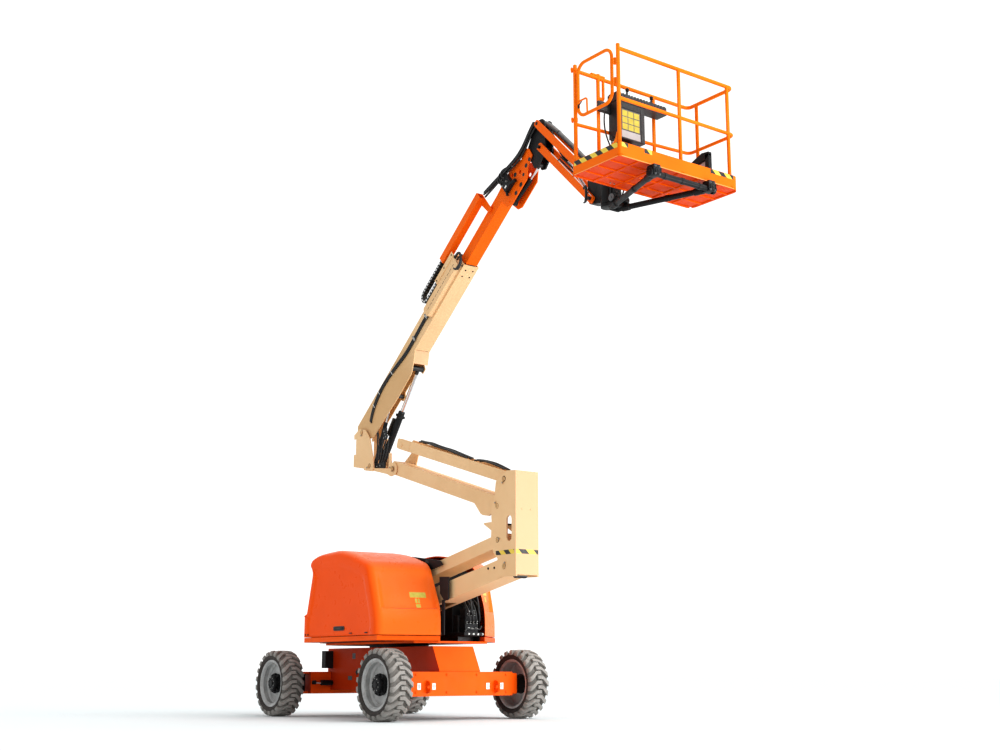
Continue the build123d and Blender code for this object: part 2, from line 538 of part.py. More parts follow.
with BuildPart() as jib_end:
    plate([(3935, 5740), (3915, 5790), (3905, 6085), (3925, 6130), (4005, 6130), (4080, 6000), (4085, 5955), (4130, 5955), (4130, 5700), (4000, 5725)], -66, 66)
    post(ROTATE_X, 0, 85, 5680, 5960)
    post(ROTATE_X, 0, 30 + RUN, 5600, 6000, Mode.SUBTRACT)
    cross(J1, 20, -132, 132)
    cross(J2, 20, -132, 132)
keep(jib_end, "jib_end")

# ---------------------------------------------------------------- platform
with BuildPart() as platform_support:
    for z in (5640, 5966):
        post(ROTATE_X, 0, 85, z, z + 34)
        block(ROTATE_X, 4300, -60, 60, z, z + 34)
    block(4272, 4300, -60, 60, 5573, 6000)
    post(ROTATE_X, 0, 30, 5640, 6000)
    for sy in (-1, 1):
        d = Vector(1062, sy * 350, 0)
        with BuildSketch(Plane(origin=(4288, sy * 50, 5607), z_dir=d)) as leg:
            Circle(32)
        extrude(leg.sketch, amount=d.length)
        block(5300, 5400, sy * 400 - 45, sy * 400 + 45, 5573, PLAT_Z)
    with BuildSketch(Plane.XZ.offset(400)) as tie:
        with Locations((5350, 5607)):
            Circle(32)
    extrude(tie.sketch, amount=-800)
keep(platform_support, "platform_support")

with BuildPart() as platform_floor:
    block(PLAT_X0, PLAT_X1, -PLAT_Y, PLAT_Y, PLAT_Z, PLAT_Z + TOE_H)
    fillet(platform_floor.edges().filter_by(Axis.Z).sort_by(Axis.Y)[2:], 90)
    fillet(platform_floor.edges().filter_by(Axis.Z).sort_by(Axis.Y)[:2], 25)
    block(PLAT_X0 + 8, PLAT_X1 - 8, 8 - PLAT_Y, PLAT_Y - 60, PLAT_Z + 22, PLAT_Z + 400, Mode.SUBTRACT)
    for x0, x1 in ((4615, 4770), (4790, 4965), (4985, 5160), (5180, 5335)):
        for y0 in (-860, -570, -280, 10, 300, 590):
            block(x0, x1, y0, y0 + 262, PLAT_Z, PLAT_Z + 12, Mode.SUBTRACT)
    block(4820, 5285, -795, 745, PLAT_Z + 22, PLAT_Z + 25)
keep(platform_floor, "platform_floor")

XR0, XR1, YR = PLAT_X0 + 30, PLAT_X1 - 30, PLAT_Y - 30
RZ0, RZ1, RZM, RZR = PLAT_Z + 22, RAIL_TOP - RAIL_R, 6338.0, 6275.0
with BuildPart() as platform_rails:
    tube([(XR1, -YR, RZ1), (XR1, YR, RZ1), (XR0, YR, RZ1), (XR0, -YR, RZ1)], 60, RAIL_R)
    post(XR1, -YR, RAIL_R, RZ0, RZ1 + 45)
    post(XR0, -YR, RAIL_R, RZ0, RZ1 + 62)
    for x, y in ((XR1, 20.0), (XR1, 758.0), (XR0, -520.0), (XR0, 300.0)):
        post(x, y, RAIL_R - 1, RZ0, RZ1)
    post(4765, YR, RAIL_R - 1, PLAT_Z + TOE_H, RZ1)
    tube([(XR1, -YR, RZM), (XR1, YR, RZM), (XR0, YR, RZM), (XR0, -YR, RZR)], 60, RAIL_R - 2)
keep(platform_rails, "platform_rails")

GX0, GX1, GZ0, GZ1 = 4678.0, 5222.0, 6335.0, 6935.0
with BuildPart() as platform_gate:
    tube([((GX0 + GX1) / 2, -YR, GZ1), (GX1, -YR, GZ1), (GX1, -YR, GZ0), (GX0, -YR, GZ0), (GX0, -YR, GZ1), ((GX0 + GX1) / 2 + 1, -YR, GZ1)], 110, 18)
keep(platform_gate, "platform_gate")

with BuildPart() as platform_console:
    block(XR0 + 32, XR0 + 172, -400, 0, 6190, 6610)
    block(XR0 + 26, XR0 + 180, -410, 330, 6610, 6700)
    plate([(XR0 + 36, PLAT_Z + 22), (XR0 + 72, PLAT_Z + 22), (XR0 + 72, 6190), (XR0 + 36, 6190)], -300, -100)
keep(platform_console, "platform_console")

print("lift", LIFT, "level", LEVEL, "slave", SLAVE, "tower", TOWER_CYL, "jib", JIBCYL)
print("T2", T2, "D1", D1, "P", P, "J1", J1, "J2", J2, "eyes", TOWER_EYE, LIFT_EYE, LEVEL_EYE, SLAVE_0, SLAVE_EYE, JIB_EYE)
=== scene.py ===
import bpy, bmesh, math, random
from math import cos, sin, radians, pi, hypot, atan2
from mathutils import Vector, Matrix


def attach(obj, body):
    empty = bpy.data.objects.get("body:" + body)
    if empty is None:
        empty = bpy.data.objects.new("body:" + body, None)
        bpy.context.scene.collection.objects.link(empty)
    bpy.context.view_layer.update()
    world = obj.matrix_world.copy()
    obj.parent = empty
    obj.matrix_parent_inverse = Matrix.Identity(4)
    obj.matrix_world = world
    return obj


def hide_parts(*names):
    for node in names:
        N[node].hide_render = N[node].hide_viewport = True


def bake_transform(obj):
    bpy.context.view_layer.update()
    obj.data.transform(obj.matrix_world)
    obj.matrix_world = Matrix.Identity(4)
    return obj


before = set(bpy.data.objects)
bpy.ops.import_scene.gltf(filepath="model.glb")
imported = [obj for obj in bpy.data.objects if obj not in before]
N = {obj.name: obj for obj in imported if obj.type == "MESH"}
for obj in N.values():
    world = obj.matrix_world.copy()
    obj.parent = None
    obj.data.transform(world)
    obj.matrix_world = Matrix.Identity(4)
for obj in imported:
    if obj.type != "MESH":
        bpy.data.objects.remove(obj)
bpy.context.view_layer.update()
scene = bpy.context.scene

# ------------------------------------------------------------------ camera, floor, light
AZ, EL = radians(36.872), radians(12.279)
cam_data = bpy.data.cameras.new("camera")
cam = bpy.data.objects.new("camera", cam_data)
scene.collection.objects.link(cam)
cam.location = (15.038, -9.66, 0.574)
look = Vector((-cos(AZ) * cos(EL), sin(AZ) * cos(EL), sin(EL)))
cam.rotation_mode = "QUATERNION"
cam.rotation_quaternion = look.to_track_quat("-Z", "Y")
cam_data.sensor_width = 36.0
cam_data.lens = 48.984
cam_data.clip_start, cam_data.clip_end = 0.1, 500.0
scene.camera = cam
scene.view_settings.view_transform = "Standard"
scene.view_settings.look = "Medium High Contrast"


def new_mat(name):
    m = bpy.data.materials.new(name)
    m.use_nodes = True
    nt = m.node_tree
    b = nt.nodes["Principled BSDF"]
    return m, nt, b


def link(nt, a, b):
    nt.links.new(a, b)


def node(nt, kind, **kw):
    n = nt.nodes.new(kind)
    for k, v in kw.items():
        setattr(n, k, v)
    return n


def noise(nt, coord, scale, detail=4.0, rough=0.55):
    n = node(nt, "ShaderNodeTexNoise")
    n.inputs["Scale"].default_value = scale
    n.inputs["Detail"].default_value = detail
    n.inputs["Roughness"].default_value = rough
    link(nt, coord, n.inputs["Vector"])
    return n.outputs["Fac"]


def ramp(nt, fac, stops):
    r = node(nt, "ShaderNodeValToRGB")
    cr = r.color_ramp
    while len(cr.elements) < len(stops):
        cr.elements.new(0.5)
    for e, (p, c) in zip(cr.elements, stops):
        e.position = p
        e.color = (c[0], c[1], c[2], 1.0)
    link(nt, fac, r.inputs["Fac"])
    return r.outputs["Color"]


def maprange(nt, fac, a, b, c, d):
    n = node(nt, "ShaderNodeMapRange")
    n.inputs["From Min"].default_value = a
    n.inputs["From Max"].default_value = b
    n.inputs["To Min"].default_value = c
    n.inputs["To Max"].default_value = d
    link(nt, fac, n.inputs["Value"])
    return n.outputs["Result"]


def mix(nt, fac, a, b):
    n = node(nt, "ShaderNodeMix", data_type="RGBA")
    if isinstance(fac, float):
        n.inputs["Factor"].default_value = fac
    else:
        link(nt, fac, n.inputs["Factor"])
    for i, v in ((6, a), (7, b)):
        if isinstance(v, tuple):
            n.inputs[i].default_value = (v[0], v[1], v[2], 1.0)
        else:
            link(nt, v, n.inputs[i])
    return n.outputs[2]


def math_node(nt, op, a, b=None):
    n = node(nt, "ShaderNodeMath", operation=op)
    for i, v in ((0, a), (1, b)):
        if v is None:
            continue
        if isinstance(v, (int, float)):
            n.inputs[i].default_value = v
        else:
            link(nt, v, n.inputs[i])
    return n.outputs[0]


def bump(nt, b, height, strength, distance):
    n = node(nt, "ShaderNodeBump")
    n.inputs["Strength"].default_value = strength
    n.inputs["Distance"].default_value = distance
    link(nt, height, n.inputs["Height"])
    link(nt, n.outputs["Normal"], b.inputs["Normal"])
    return n


def paint(name, base, light, dark, rough=0.38, coat=0.0, grime=(0.10, 0.085, 0.07), grime_amount=0.22, peel=0.05, spec=0.28, specks=0.30):
    # Sprayed paint: slow tone drift, orange peel, dusty film in patches, small specks.
    m, nt, b = new_mat(name)
    co = node(nt, "ShaderNodeTexCoord").outputs["Object"]
    tone = ramp(nt, noise(nt, co, 1.7, 3), [(0.32, dark), (0.52, base), (0.75, light)])
    film = maprange(nt, noise(nt, co, 5.5, 8, 0.65), 0.60, 0.82, 0.0, grime_amount)
    col = mix(nt, film, tone, grime)
    spot = math_node(nt, "MULTIPLY", maprange(nt, noise(nt, co, 38.0, 2), 0.71, 0.75, 0.0, 1.0), specks)
    col = mix(nt, spot, col, (dark[0] * 0.55, dark[1] * 0.55, dark[2] * 0.6 + 0.005))
    link(nt, col, b.inputs["Base Color"])
    link(nt, maprange(nt, noise(nt, co, 9.0, 5), 0.3, 0.75, rough - 0.06, rough + 0.14), b.inputs["Roughness"])
    b.inputs["Specular IOR Level"].default_value = spec
    b.inputs["Coat Weight"].default_value = coat
    b.inputs["Coat Roughness"].default_value = 0.12
    bump(nt, b, noise(nt, co, 260.0, 2), peel, 0.002)
    return m


def plain(name, c0, c1, rough=0.5, metal=0.0, scale=14.0, bump_scale=180.0, bump_amt=0.08, spread=0.12, aniso=0.0):
    m, nt, b = new_mat(name)
    co = node(nt, "ShaderNodeTexCoord").outputs["Object"]
    link(nt, ramp(nt, noise(nt, co, scale, 6, 0.6), [(0.30, c0), (0.72, c1)]), b.inputs["Base Color"])
    b.inputs["Metallic"].default_value = metal
    link(nt, maprange(nt, noise(nt, co, scale * 2.3, 5), 0.3, 0.7, max(rough - spread, 0.03), rough + spread), b.inputs["Roughness"])
    if bump_amt:
        bump(nt, b, noise(nt, co, bump_scale, 3), bump_amt, 0.003)
    return m


ORANGE = paint("paint_orange", (0.92, 0.112, 0.003), (0.95, 0.125, 0.004), (0.86, 0.098, 0.002), spec=0.10)
ORANGE_HOOD = paint("paint_orange_hood", (0.95, 0.100, 0.002), (0.97, 0.106, 0.003), (0.92, 0.095, 0.001), rough=0.30, spec=0.10, grime_amount=0.0, specks=0.0, peel=0.0)
ORANGE_RED = paint("paint_orange_arms", (0.94, 0.152, 0.005), (0.96, 0.165, 0.006), (0.90, 0.138, 0.004), grime_amount=0.10, spec=0.10, specks=0.15)
ORANGE_PLAT = paint("paint_orange_platform", (0.96, 0.215, 0.006), (0.98, 0.232, 0.008), (0.93, 0.195, 0.004), grime_amount=0.08, spec=0.10, specks=0.12)
# lighter orange: a painted highlight, used for the strip along the floor frame's edge
ORANGE_PAINTED_HIGHLIGHT = paint("paint_orange_painted_highlight", (0.95, 0.42, 0.14), (0.96, 0.50, 0.20), (0.92, 0.34, 0.09), grime_amount=0.10, spec=0.1)
RED = paint("paint_red", (0.50, 0.020, 0.010), (0.56, 0.026, 0.012), (0.42, 0.015, 0.008), grime_amount=0.15)
TAN = paint("paint_tan", (0.85, 0.570, 0.318), (0.88, 0.605, 0.348), (0.81, 0.530, 0.288), rough=0.48, grime=(0.42, 0.31, 0.19), grime_amount=0.10, peel=0.02, spec=0.10, specks=0.0)
TAN_DARK = paint("paint_tan_pins", (0.60, 0.38, 0.19), (0.66, 0.43, 0.22), (0.52, 0.32, 0.15), rough=0.5, grime=(0.2, 0.14, 0.08), grime_amount=0.3, spec=0.10, specks=0.1)
BROWN = paint("pin_gap_brown", (0.16, 0.10, 0.055), (0.20, 0.13, 0.07), (0.11, 0.07, 0.04), rough=0.6, grime=(0.05, 0.04, 0.03), grime_amount=0.3, spec=0.10, specks=0.1)
BLACK = paint("paint_black", (0.012, 0.012, 0.013), (0.020, 0.020, 0.022), (0.008, 0.008, 0.009), rough=0.42, grime=(0.05, 0.047, 0.043), grime_amount=0.25, spec=0.25)
DARK = paint("paint_dark", (0.020, 0.020, 0.022), (0.032, 0.032, 0.034), (0.013, 0.013, 0.014), rough=0.52, grime=(0.08, 0.075, 0.07), grime_amount=0.30, spec=0.25)
GREY = paint("paint_grey", (0.13, 0.13, 0.135), (0.17, 0.17, 0.175), (0.10, 0.10, 0.105), rough=0.5, grime=(0.22, 0.21, 0.20), grime_amount=0.3, spec=0.25)
GREY_PLATE = paint("plate_grey", (0.50, 0.50, 0.50), (0.58, 0.58, 0.58), (0.42, 0.42, 0.42), rough=0.5, grime=(0.30, 0.29, 0.28), grime_amount=0.25, spec=0.2)
# darker than the tread: painted shade in the grooves between the lugs, plus patchy grime
GROOVE_PAINTED_SHADE = paint("tyre_groove_painted_shade", (0.170, 0.160, 0.148), (0.205, 0.193, 0.180), (0.130, 0.122, 0.112), rough=0.8, grime=(0.05, 0.045, 0.04), grime_amount=0.4, spec=0.15)
CHROME = plain("chrome_rod", (0.70, 0.70, 0.71), (0.80, 0.80, 0.81), 0.12, 1.0, 30.0, 400.0, 0.015, 0.05)
STEEL = plain("zinc_steel", (0.30, 0.30, 0.29), (0.46, 0.46, 0.44), 0.36, 1.0, 40.0, 300.0, 0.05)
HOSE = plain("hose_rubber", (0.012, 0.012, 0.013), (0.026, 0.026, 0.027), 0.48, 0.0, 60.0, 420.0, 0.12)
PLASTIC = plain("black_plastic", (0.014, 0.014, 0.015), (0.030, 0.030, 0.031), 0.45, 0.0, 25.0, 500.0, 0.10)
WHITE = plain("white_film", (0.80, 0.80, 0.79), (0.90, 0.90, 0.89), 0.35, 0.0, 20.0, 300.0, 0.02)
YELLOW = plain("yellow_film", (0.78, 0.55, 0.05), (0.88, 0.64, 0.08), 0.38, 0.0, 20.0, 300.0, 0.02)
YELLOW_LABEL = plain("yellow_label", (0.50, 0.41, 0.03), (0.66, 0.55, 0.06), 0.38, 0.0, 20.0, 300.0, 0.02)
STRIPE_BLACK = plain("stripe_black", (0.012, 0.012, 0.012), (0.022, 0.022, 0.022), 0.4, 0.0, 20.0, 300.0, 0.02)
SLEEVE = plain("grey_sleeve", (0.16, 0.16, 0.16), (0.26, 0.26, 0.25), 0.7, 0.0, 50.0, 700.0, 0.25)


def wheel_mats(cx, tag):
    # Silver dish with a dark bolted hub, told apart by the distance from the axle line.
    m, nt, b = new_mat("rim_silver_" + tag)
    tc = node(nt, "ShaderNodeTexCoord").outputs["Object"]
    sep = node(nt, "ShaderNodeSeparateXYZ")
    link(nt, tc, sep.inputs[0])
    dx = math_node(nt, "SUBTRACT", sep.outputs[0], cx)
    dz = math_node(nt, "SUBTRACT", sep.outputs[2], 0.42)
    r = math_node(nt, "SQRT", math_node(nt, "ADD", math_node(nt, "MULTIPLY", dx, dx), math_node(nt, "MULTIPLY", dz, dz)))
    silver = ramp(nt, noise(nt, tc, 9.0, 6, 0.65), [(0.30, (0.36, 0.36, 0.36)), (0.70, (0.56, 0.56, 0.55))])
    dust = mix(nt, maprange(nt, noise(nt, tc, 24.0, 6), 0.5, 0.75, 0.0, 0.5), silver, (0.30, 0.27, 0.23))
    core = maprange(nt, r, 0.118, 0.122, 1.0, 0.0)
    link(nt, mix(nt, core, dust, (0.016, 0.016, 0.017)), b.inputs["Base Color"])
    b.inputs["Metallic"].default_value = 0.25
    b.inputs["Roughness"].default_value = 0.42
    bump(nt, b, noise(nt, tc, 140.0, 3), 0.06, 0.003)
    return m


def tyre_mat():
    m, nt, b = new_mat("tyre_light")
    tc = node(nt, "ShaderNodeTexCoord").outputs["Object"]
    base = ramp(nt, noise(nt, tc, 7.0, 8, 0.7), [(0.28, (0.215, 0.203, 0.188)), (0.55, (0.300, 0.284, 0.266)), (0.80, (0.360, 0.342, 0.320))])
    grime = mix(nt, maprange(nt, noise(nt, tc, 30.0, 6), 0.52, 0.78, 0.0, 0.55), base, (0.16, 0.14, 0.12))
    link(nt, grime, b.inputs["Base Color"])
    b.inputs["Roughness"].default_value = 0.82
    bump(nt, b, noise(nt, tc, 190.0, 5), 0.30, 0.003)
    return m


TYRE = tyre_mat()
SIDEWALL = plain("tyre_sidewall", (0.030, 0.024, 0.021), (0.060, 0.048, 0.042), 0.72, 0.0, 30.0, 240.0, 0.3)
RIMS = {"drive": wheel_mats(1.245, "drive"), "steer": wheel_mats(-1.33, "steer")}

# ------------------------------------------------------------------ mesh helpers


def to_object(bm, name, mats, body, smooth_deg=32.0, bevel=None, segments=2):
    bmesh.ops.remove_doubles(bm, verts=bm.verts, dist=1e-6)
    bmesh.ops.recalc_face_normals(bm, faces=bm.faces)
    me = bpy.data.meshes.new(name)
    bm.to_mesh(me)
    bm.free()
    ob = bpy.data.objects.new(name, me)
    scene.collection.objects.link(ob)
    for m in (mats if isinstance(mats, (list, tuple)) else [mats]):
        me.materials.append(m)
    if bevel:
        md = ob.modifiers.new("edge", "BEVEL")
        md.width = bevel
        md.segments = segments
        md.limit_method = "ANGLE"
        md.angle_limit = radians(30)
        md.harden_normals = False
    shade(me, smooth_deg)
    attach(ob, body)
    return ob


def shade(me, deg):
    for p in me.polygons:
        p.use_smooth = True
    me.set_sharp_from_angle(angle=radians(deg))


def add_box(bm, lo, hi, mat=0, f=None):
    vs = []
    for z in (lo[2], hi[2]):
        for y in (lo[1], hi[1]):
            for x in (lo[0], hi[0]):
                p = Vector((x, y, z))
                vs.append(bm.verts.new(f(p) if f else p))
    idx = ((0, 2, 3, 1), (4, 5, 7, 6), (0, 1, 5, 4), (2, 6, 7, 3), (0, 4, 6, 2), (1, 3, 7, 5))
    for q in idx:
        fc = bm.faces.new([vs[i] for i in q])
        fc.material_index = mat
    return vs


def add_prism(bm, pts, y0, y1, f=None, mat=0):
    # pts are (X, Z) pairs, or pairs mapped by f(a, b) -> (X, Z).
    q = [f(a, b) if f else (a, b) for a, b in pts]
    a = [bm.verts.new((x, y0, z)) for x, z in q]
    b = [bm.verts.new((x, y1, z)) for x, z in q]
    n = len(q)
    for i in range(n):
        bm.faces.new((a[i], a[(i + 1) % n], b[(i + 1) % n], b[i])).material_index = mat
    bm.faces.new(list(reversed(a))).material_index = mat
    bm.faces.new(b).material_index = mat


def axes_of(d):
    d = Vector(d).normalized()
    t = Vector((0, 0, 1)) if abs(d.z) < 0.9 else Vector((1, 0, 0))
    u = d.cross(t).normalized()
    return d, u, d.cross(u).normalized()


def add_cyl(bm, p, q, r, seg=24, mat=0, r2=None, cap=True):
    p, q = Vector(p), Vector(q)
    d, u, v = axes_of(q - p)
    r2 = r if r2 is None else r2
    a = [bm.verts.new(p + (u * cos(2 * pi * i / seg) + v * sin(2 * pi * i / seg)) * r) for i in range(seg)]
    b = [bm.verts.new(q + (u * cos(2 * pi * i / seg) + v * sin(2 * pi * i / seg)) * r2) for i in range(seg)]
    for i in range(seg):
        bm.faces.new((a[i], a[(i + 1) % seg], b[(i + 1) % seg], b[i])).material_index = mat
    if cap:
        bm.faces.new(list(reversed(a))).material_index = mat
        bm.faces.new(b).material_index = mat


def add_lathe(bm, centre, axis, prof, seg=48, mat=0, closed=True):
    # prof: (axial, radius) pairs.
    c = Vector(centre)
    d, u, v = axes_of(axis)
    rings = []
    for i in range(seg):
        e = u * cos(2 * pi * i / seg) + v * sin(2 * pi * i / seg)
        rings.append([bm.verts.new(c + d * a + e * r) for a, r in prof])
    n = len(prof)
    for i in range(seg):
        A, B = rings[i], rings[(i + 1) % seg]
        for k in range(n if closed else n - 1):
            bm.faces.new((A[k], A[(k + 1) % n], B[(k + 1) % n], B[k])).material_index = mat
    return rings


def add_bolt(bm, p, nrm, r=0.012, h=0.009, washer=True, mat=0):
    p, nrm = Vector(p), Vector(nrm).normalized()
    if washer:
        add_cyl(bm, p, p + nrm * 0.003, r * 1.45, 16, mat)
        p = p + nrm * 0.003
    add_cyl(bm, p, p + nrm * h, r, 6, mat)
    add_cyl(bm, p + nrm * h, p + nrm * (h + 0.0015), r * 0.8, 12, mat, r2=r * 0.7)


def hose(name, pts, r, mat, body, resolution=10, order=4):
    cu = bpy.data.curves.new(name, "CURVE")
    cu.dimensions = "3D"
    sp = cu.splines.new("NURBS")
    sp.points.add(len(pts) - 1)
    for i, p in enumerate(pts):
        sp.points[i].co = (p[0], p[1], p[2], 1.0)
    sp.order_u = min(order, len(pts))
    sp.use_endpoint_u = True
    sp.resolution_u = resolution
    cu.bevel_depth = r
    cu.bevel_resolution = 4
    cu.use_fill_caps = True
    cu.materials.append(mat)
    ob = bpy.data.objects.new(name, cu)
    scene.collection.objects.link(ob)
    # turned into a mesh, so that its shape is kept in every export
    dg = bpy.context.evaluated_depsgraph_get()
    me = bpy.data.meshes.new_from_object(ob.evaluated_get(dg))
    bpy.data.objects.remove(ob)
    me.name = name
    mo = bpy.data.objects.new(name, me)
    scene.collection.objects.link(mo)
    for p in me.polygons:
        p.use_smooth = True
    if body:
        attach(mo, body)
    return mo


# ------------------------------------------------------------------ CAD nodes keep their shape and get soft edges
FLAT = set("chassis_frame drive_axle steer_axle side_trays counterweight fly_boom hose_carrier jib_arms jib_links platform_floor lower_boom lower_link lower_upright upper_boom upper_link upper_upright main_boom hose_cover chain_channel tower_bracket turntable_deck hood_bulkheads axle_control_box boom_valve platform_console battery_packs jib_knuckle".split())


def soften(name, mat, width=0.003, seg=2, smooth=32.0):
    o = N[name]
    me = o.data
    me.materials.clear()
    me.materials.append(mat)
    for p in me.polygons:
        p.material_index = 0
        p.use_smooth = name not in FLAT
    w = o.modifiers.new("weld", "WELD")
    w.merge_threshold = 0.00002
    if width:
        b = o.modifiers.new("edge", "BEVEL")
        b.width = width
        b.segments = seg
        b.limit_method = "ANGLE"
        b.angle_limit = radians(35)
        b.use_clamp_overlap = True
        b.harden_normals = False


def finish_node(name, mat, width=0.003, seg=2):
    soften(name, mat, width, seg)


def floor_paint():
    # platform paint, with painted shade: a deeper tone on the faces of the ribbed underside that look down
    m, nt, b = new_mat("paint_platform_floor")
    tc = node(nt, "ShaderNodeTexCoord")
    co = tc.outputs["Object"]
    sep = node(nt, "ShaderNodeSeparateXYZ")
    link(nt, tc.outputs["Normal"], sep.inputs[0])
    low = maprange(nt, sep.outputs[2], -0.8, -0.4, 1.0, 0.0)
    side = ramp(nt, noise(nt, co, 1.7, 3), [(0.32, (0.92, 0.155, 0.002)), (0.52, (0.95, 0.172, 0.003)), (0.75, (0.97, 0.188, 0.004))])
    # painted shade colour of the down-facing underside
    under = ramp(nt, noise(nt, co, 2.4, 4), [(0.32, (0.62, 0.050, 0.003)), (0.52, (0.70, 0.060, 0.003)), (0.75, (0.76, 0.072, 0.004))])
    link(nt, mix(nt, low, side, under), b.inputs["Base Color"])
    b.inputs["Specular IOR Level"].default_value = 0.10
    link(nt, maprange(nt, noise(nt, co, 9.0, 5), 0.3, 0.75, 0.34, 0.52), b.inputs["Roughness"])
    bump(nt, b, noise(nt, co, 260.0, 2), 0.05, 0.002)
    return m


FLOOR_PAINT = floor_paint()


def rod_mat(name, ex, ez, rad):
    # bright rod with a black eye, told apart by the distance from the eye
    m, nt, b = new_mat(name)
    tc = node(nt, "ShaderNodeTexCoord").outputs["Object"]
    sep = node(nt, "ShaderNodeSeparateXYZ")
    link(nt, tc, sep.inputs[0])
    dx = math_node(nt, "SUBTRACT", sep.outputs[0], ex)
    dz = math_node(nt, "SUBTRACT", sep.outputs[2], ez)
    r = math_node(nt, "SQRT", math_node(nt, "ADD", math_node(nt, "MULTIPLY", dx, dx), math_node(nt, "MULTIPLY", dz, dz)))
    eye = maprange(nt, r, rad - 0.001, rad + 0.001, 1.0, 0.0)
    bright = ramp(nt, noise(nt, tc, 30.0, 5), [(0.3, (0.66, 0.66, 0.67)), (0.7, (0.80, 0.80, 0.81))])
    dark = ramp(nt, noise(nt, tc, 14.0, 5), [(0.3, (0.012, 0.012, 0.013)), (0.7, (0.026, 0.026, 0.027))])
    link(nt, mix(nt, eye, bright, dark), b.inputs["Base Color"])
    link(nt, maprange(nt, eye, 0.0, 1.0, 1.0, 0.0), b.inputs["Metallic"])
    link(nt, maprange(nt, eye, 0.0, 1.0, 0.14, 0.42), b.inputs["Roughness"])
    bump(nt, b, noise(nt, tc, 300.0, 2), 0.02, 0.002)
    return m


def paint_light_by_facing(m, col, amount, axis=1, lo=0.60, hi=0.90):
    # painted light and shade: another tone on the faces that look along one axis of the piece, lighter or darker as the
    # light falls on them
    nt = m.node_tree
    b = next(q for q in nt.nodes if q.type == "BSDF_PRINCIPLED")
    was = b.inputs["Base Color"].links[0].from_socket
    sep = node(nt, "ShaderNodeSeparateXYZ")
    link(nt, node(nt, "ShaderNodeTexCoord").outputs["Normal"], sep.inputs[0])
    d = sep.outputs[axis] if axis != 1 else math_node(nt, "ABSOLUTE", sep.outputs[1], 0.0)
    link(nt, mix(nt, maprange(nt, d, lo, hi, 0.0, amount), was, col), b.inputs["Base Color"])
    return m


# painted highlight: a lighter orange on the hood faces that look along +X, where the key light falls on the end panel
paint_light_by_facing(ORANGE_HOOD, (0.98, 0.185, 0.022), 0.85, 0, 0.25, 0.85)
# painted highlight: a paler, lighter tone on the hood's upward faces, a painted sheen of the sky
paint_light_by_facing(ORANGE_HOOD, (0.80, 0.205, 0.085), 0.70, 2, 0.45, 0.90)
# painted shade: a darker tan on the faces that look along +X, toning down the lit end faces
paint_light_by_facing(TAN, (0.75, 0.430, 0.256), 0.85, 0, 0.90, 0.98)
# painted shade: the chassis faces along ±Y are darker red, as in the shade of the hood overhang
ORANGE_CHASSIS = paint_light_by_facing(paint("paint_orange_chassis", (0.92, 0.112, 0.003), (0.95, 0.125, 0.004), (0.86, 0.098, 0.002), spec=0.10), (0.42, 0.026, 0.004), 0.80)
# painted shade: dark undersides on the orange paints
paint_light_by_facing(ORANGE, (0.060, 0.030, 0.022), 0.90, 2, -0.60, -0.90)
paint_light_by_facing(ORANGE_CHASSIS, (0.060, 0.030, 0.022), 0.90, 2, -0.60, -0.90)
for n in "drive_axle side_trays counterweight turntable_deck".split():
    finish_node(n, ORANGE, 0.005, 3)
for n in "chassis_frame steer_axle".split():
    finish_node(n, ORANGE_CHASSIS, 0.005, 3)
for n in "fly_boom hose_carrier jib_arms jib_links".split():
    finish_node(n, ORANGE_RED, 0.0)
for n in "platform_gate platform_rails".split():
    finish_node(n, ORANGE_PLAT, 0.0)
finish_node("platform_floor", FLOOR_PAINT, 0.0025)
# tan paint of the main boom, which carries the painted shade at its foot
TAN_BOOM = paint("paint_tan_boom", (0.85, 0.570, 0.318), (0.88, 0.605, 0.348), (0.81, 0.530, 0.288), rough=0.48, grime=(0.42, 0.31, 0.19), grime_amount=0.10, peel=0.02, spec=0.10, specks=0.0)


def boom_foot_painted_shade(m, col, amount):
    # painted shade: a deeper tone on the faces looking to -Y of the web at the foot of the boom, by the distance along
    # it
    nt = m.node_tree
    b = next(q for q in nt.nodes if q.type == "BSDF_PRINCIPLED")
    was = b.inputs["Base Color"].links[0].from_socket
    tc = node(nt, "ShaderNodeTexCoord")
    dot = node(nt, "ShaderNodeVectorMath", operation="DOT_PRODUCT")
    dot.inputs[1].default_value = (cos(radians(39)), 0.0, sin(radians(39)))
    link(nt, tc.outputs["Object"], dot.inputs[0])
    sep = node(nt, "ShaderNodeSeparateXYZ")
    link(nt, tc.outputs["Normal"], sep.inputs[0])
    f = math_node(nt, "MULTIPLY", maprange(nt, dot.outputs["Value"], 2.95, 3.55, amount, 0.0), maprange(nt, sep.outputs[1], -0.90, -0.60, 1.0, 0.0))
    link(nt, mix(nt, f, was, col), b.inputs["Base Color"])
    return m


boom_foot_painted_shade(TAN_BOOM, (0.64, 0.400, 0.195), 0.75)
finish_node("main_boom", TAN_BOOM, 0.0)
for n in "lower_boom lower_link lower_upright upper_boom upper_link upper_upright hose_cover chain_channel".split():
    finish_node(n, TAN, 0.0)
for n in "tower_cylinder lift_cylinder levelling_cylinder slave_cylinder jib_cylinder jib_knuckle jib_end platform_support tower_bracket steer_knuckle_left steer_knuckle_right tie_rod".split():
    finish_node(n, BLACK, 0.003)
for n in "swing_bearing hood_bulkheads axle_control_box boom_valve".split():
    finish_node(n, DARK, 0.003)
for n, ex, ez, rad in (("tower_rod", 0.848, 1.381, 0.075), ("lift_rod", 0.312, 4.488, 0.085), ("levelling_rod", -0.159, 4.195, 0.065), ("slave_rod", 2.969, 6.521, 0.055), ("jib_rod", 3.858, 5.912, 0.055)):
    finish_node(n, rod_mat("rod_" + n, ex, ez, rad), 0.0015)
for n in "energy_chain rest_pad platform_console battery_packs".split():
    finish_node(n, PLASTIC, 0.004)
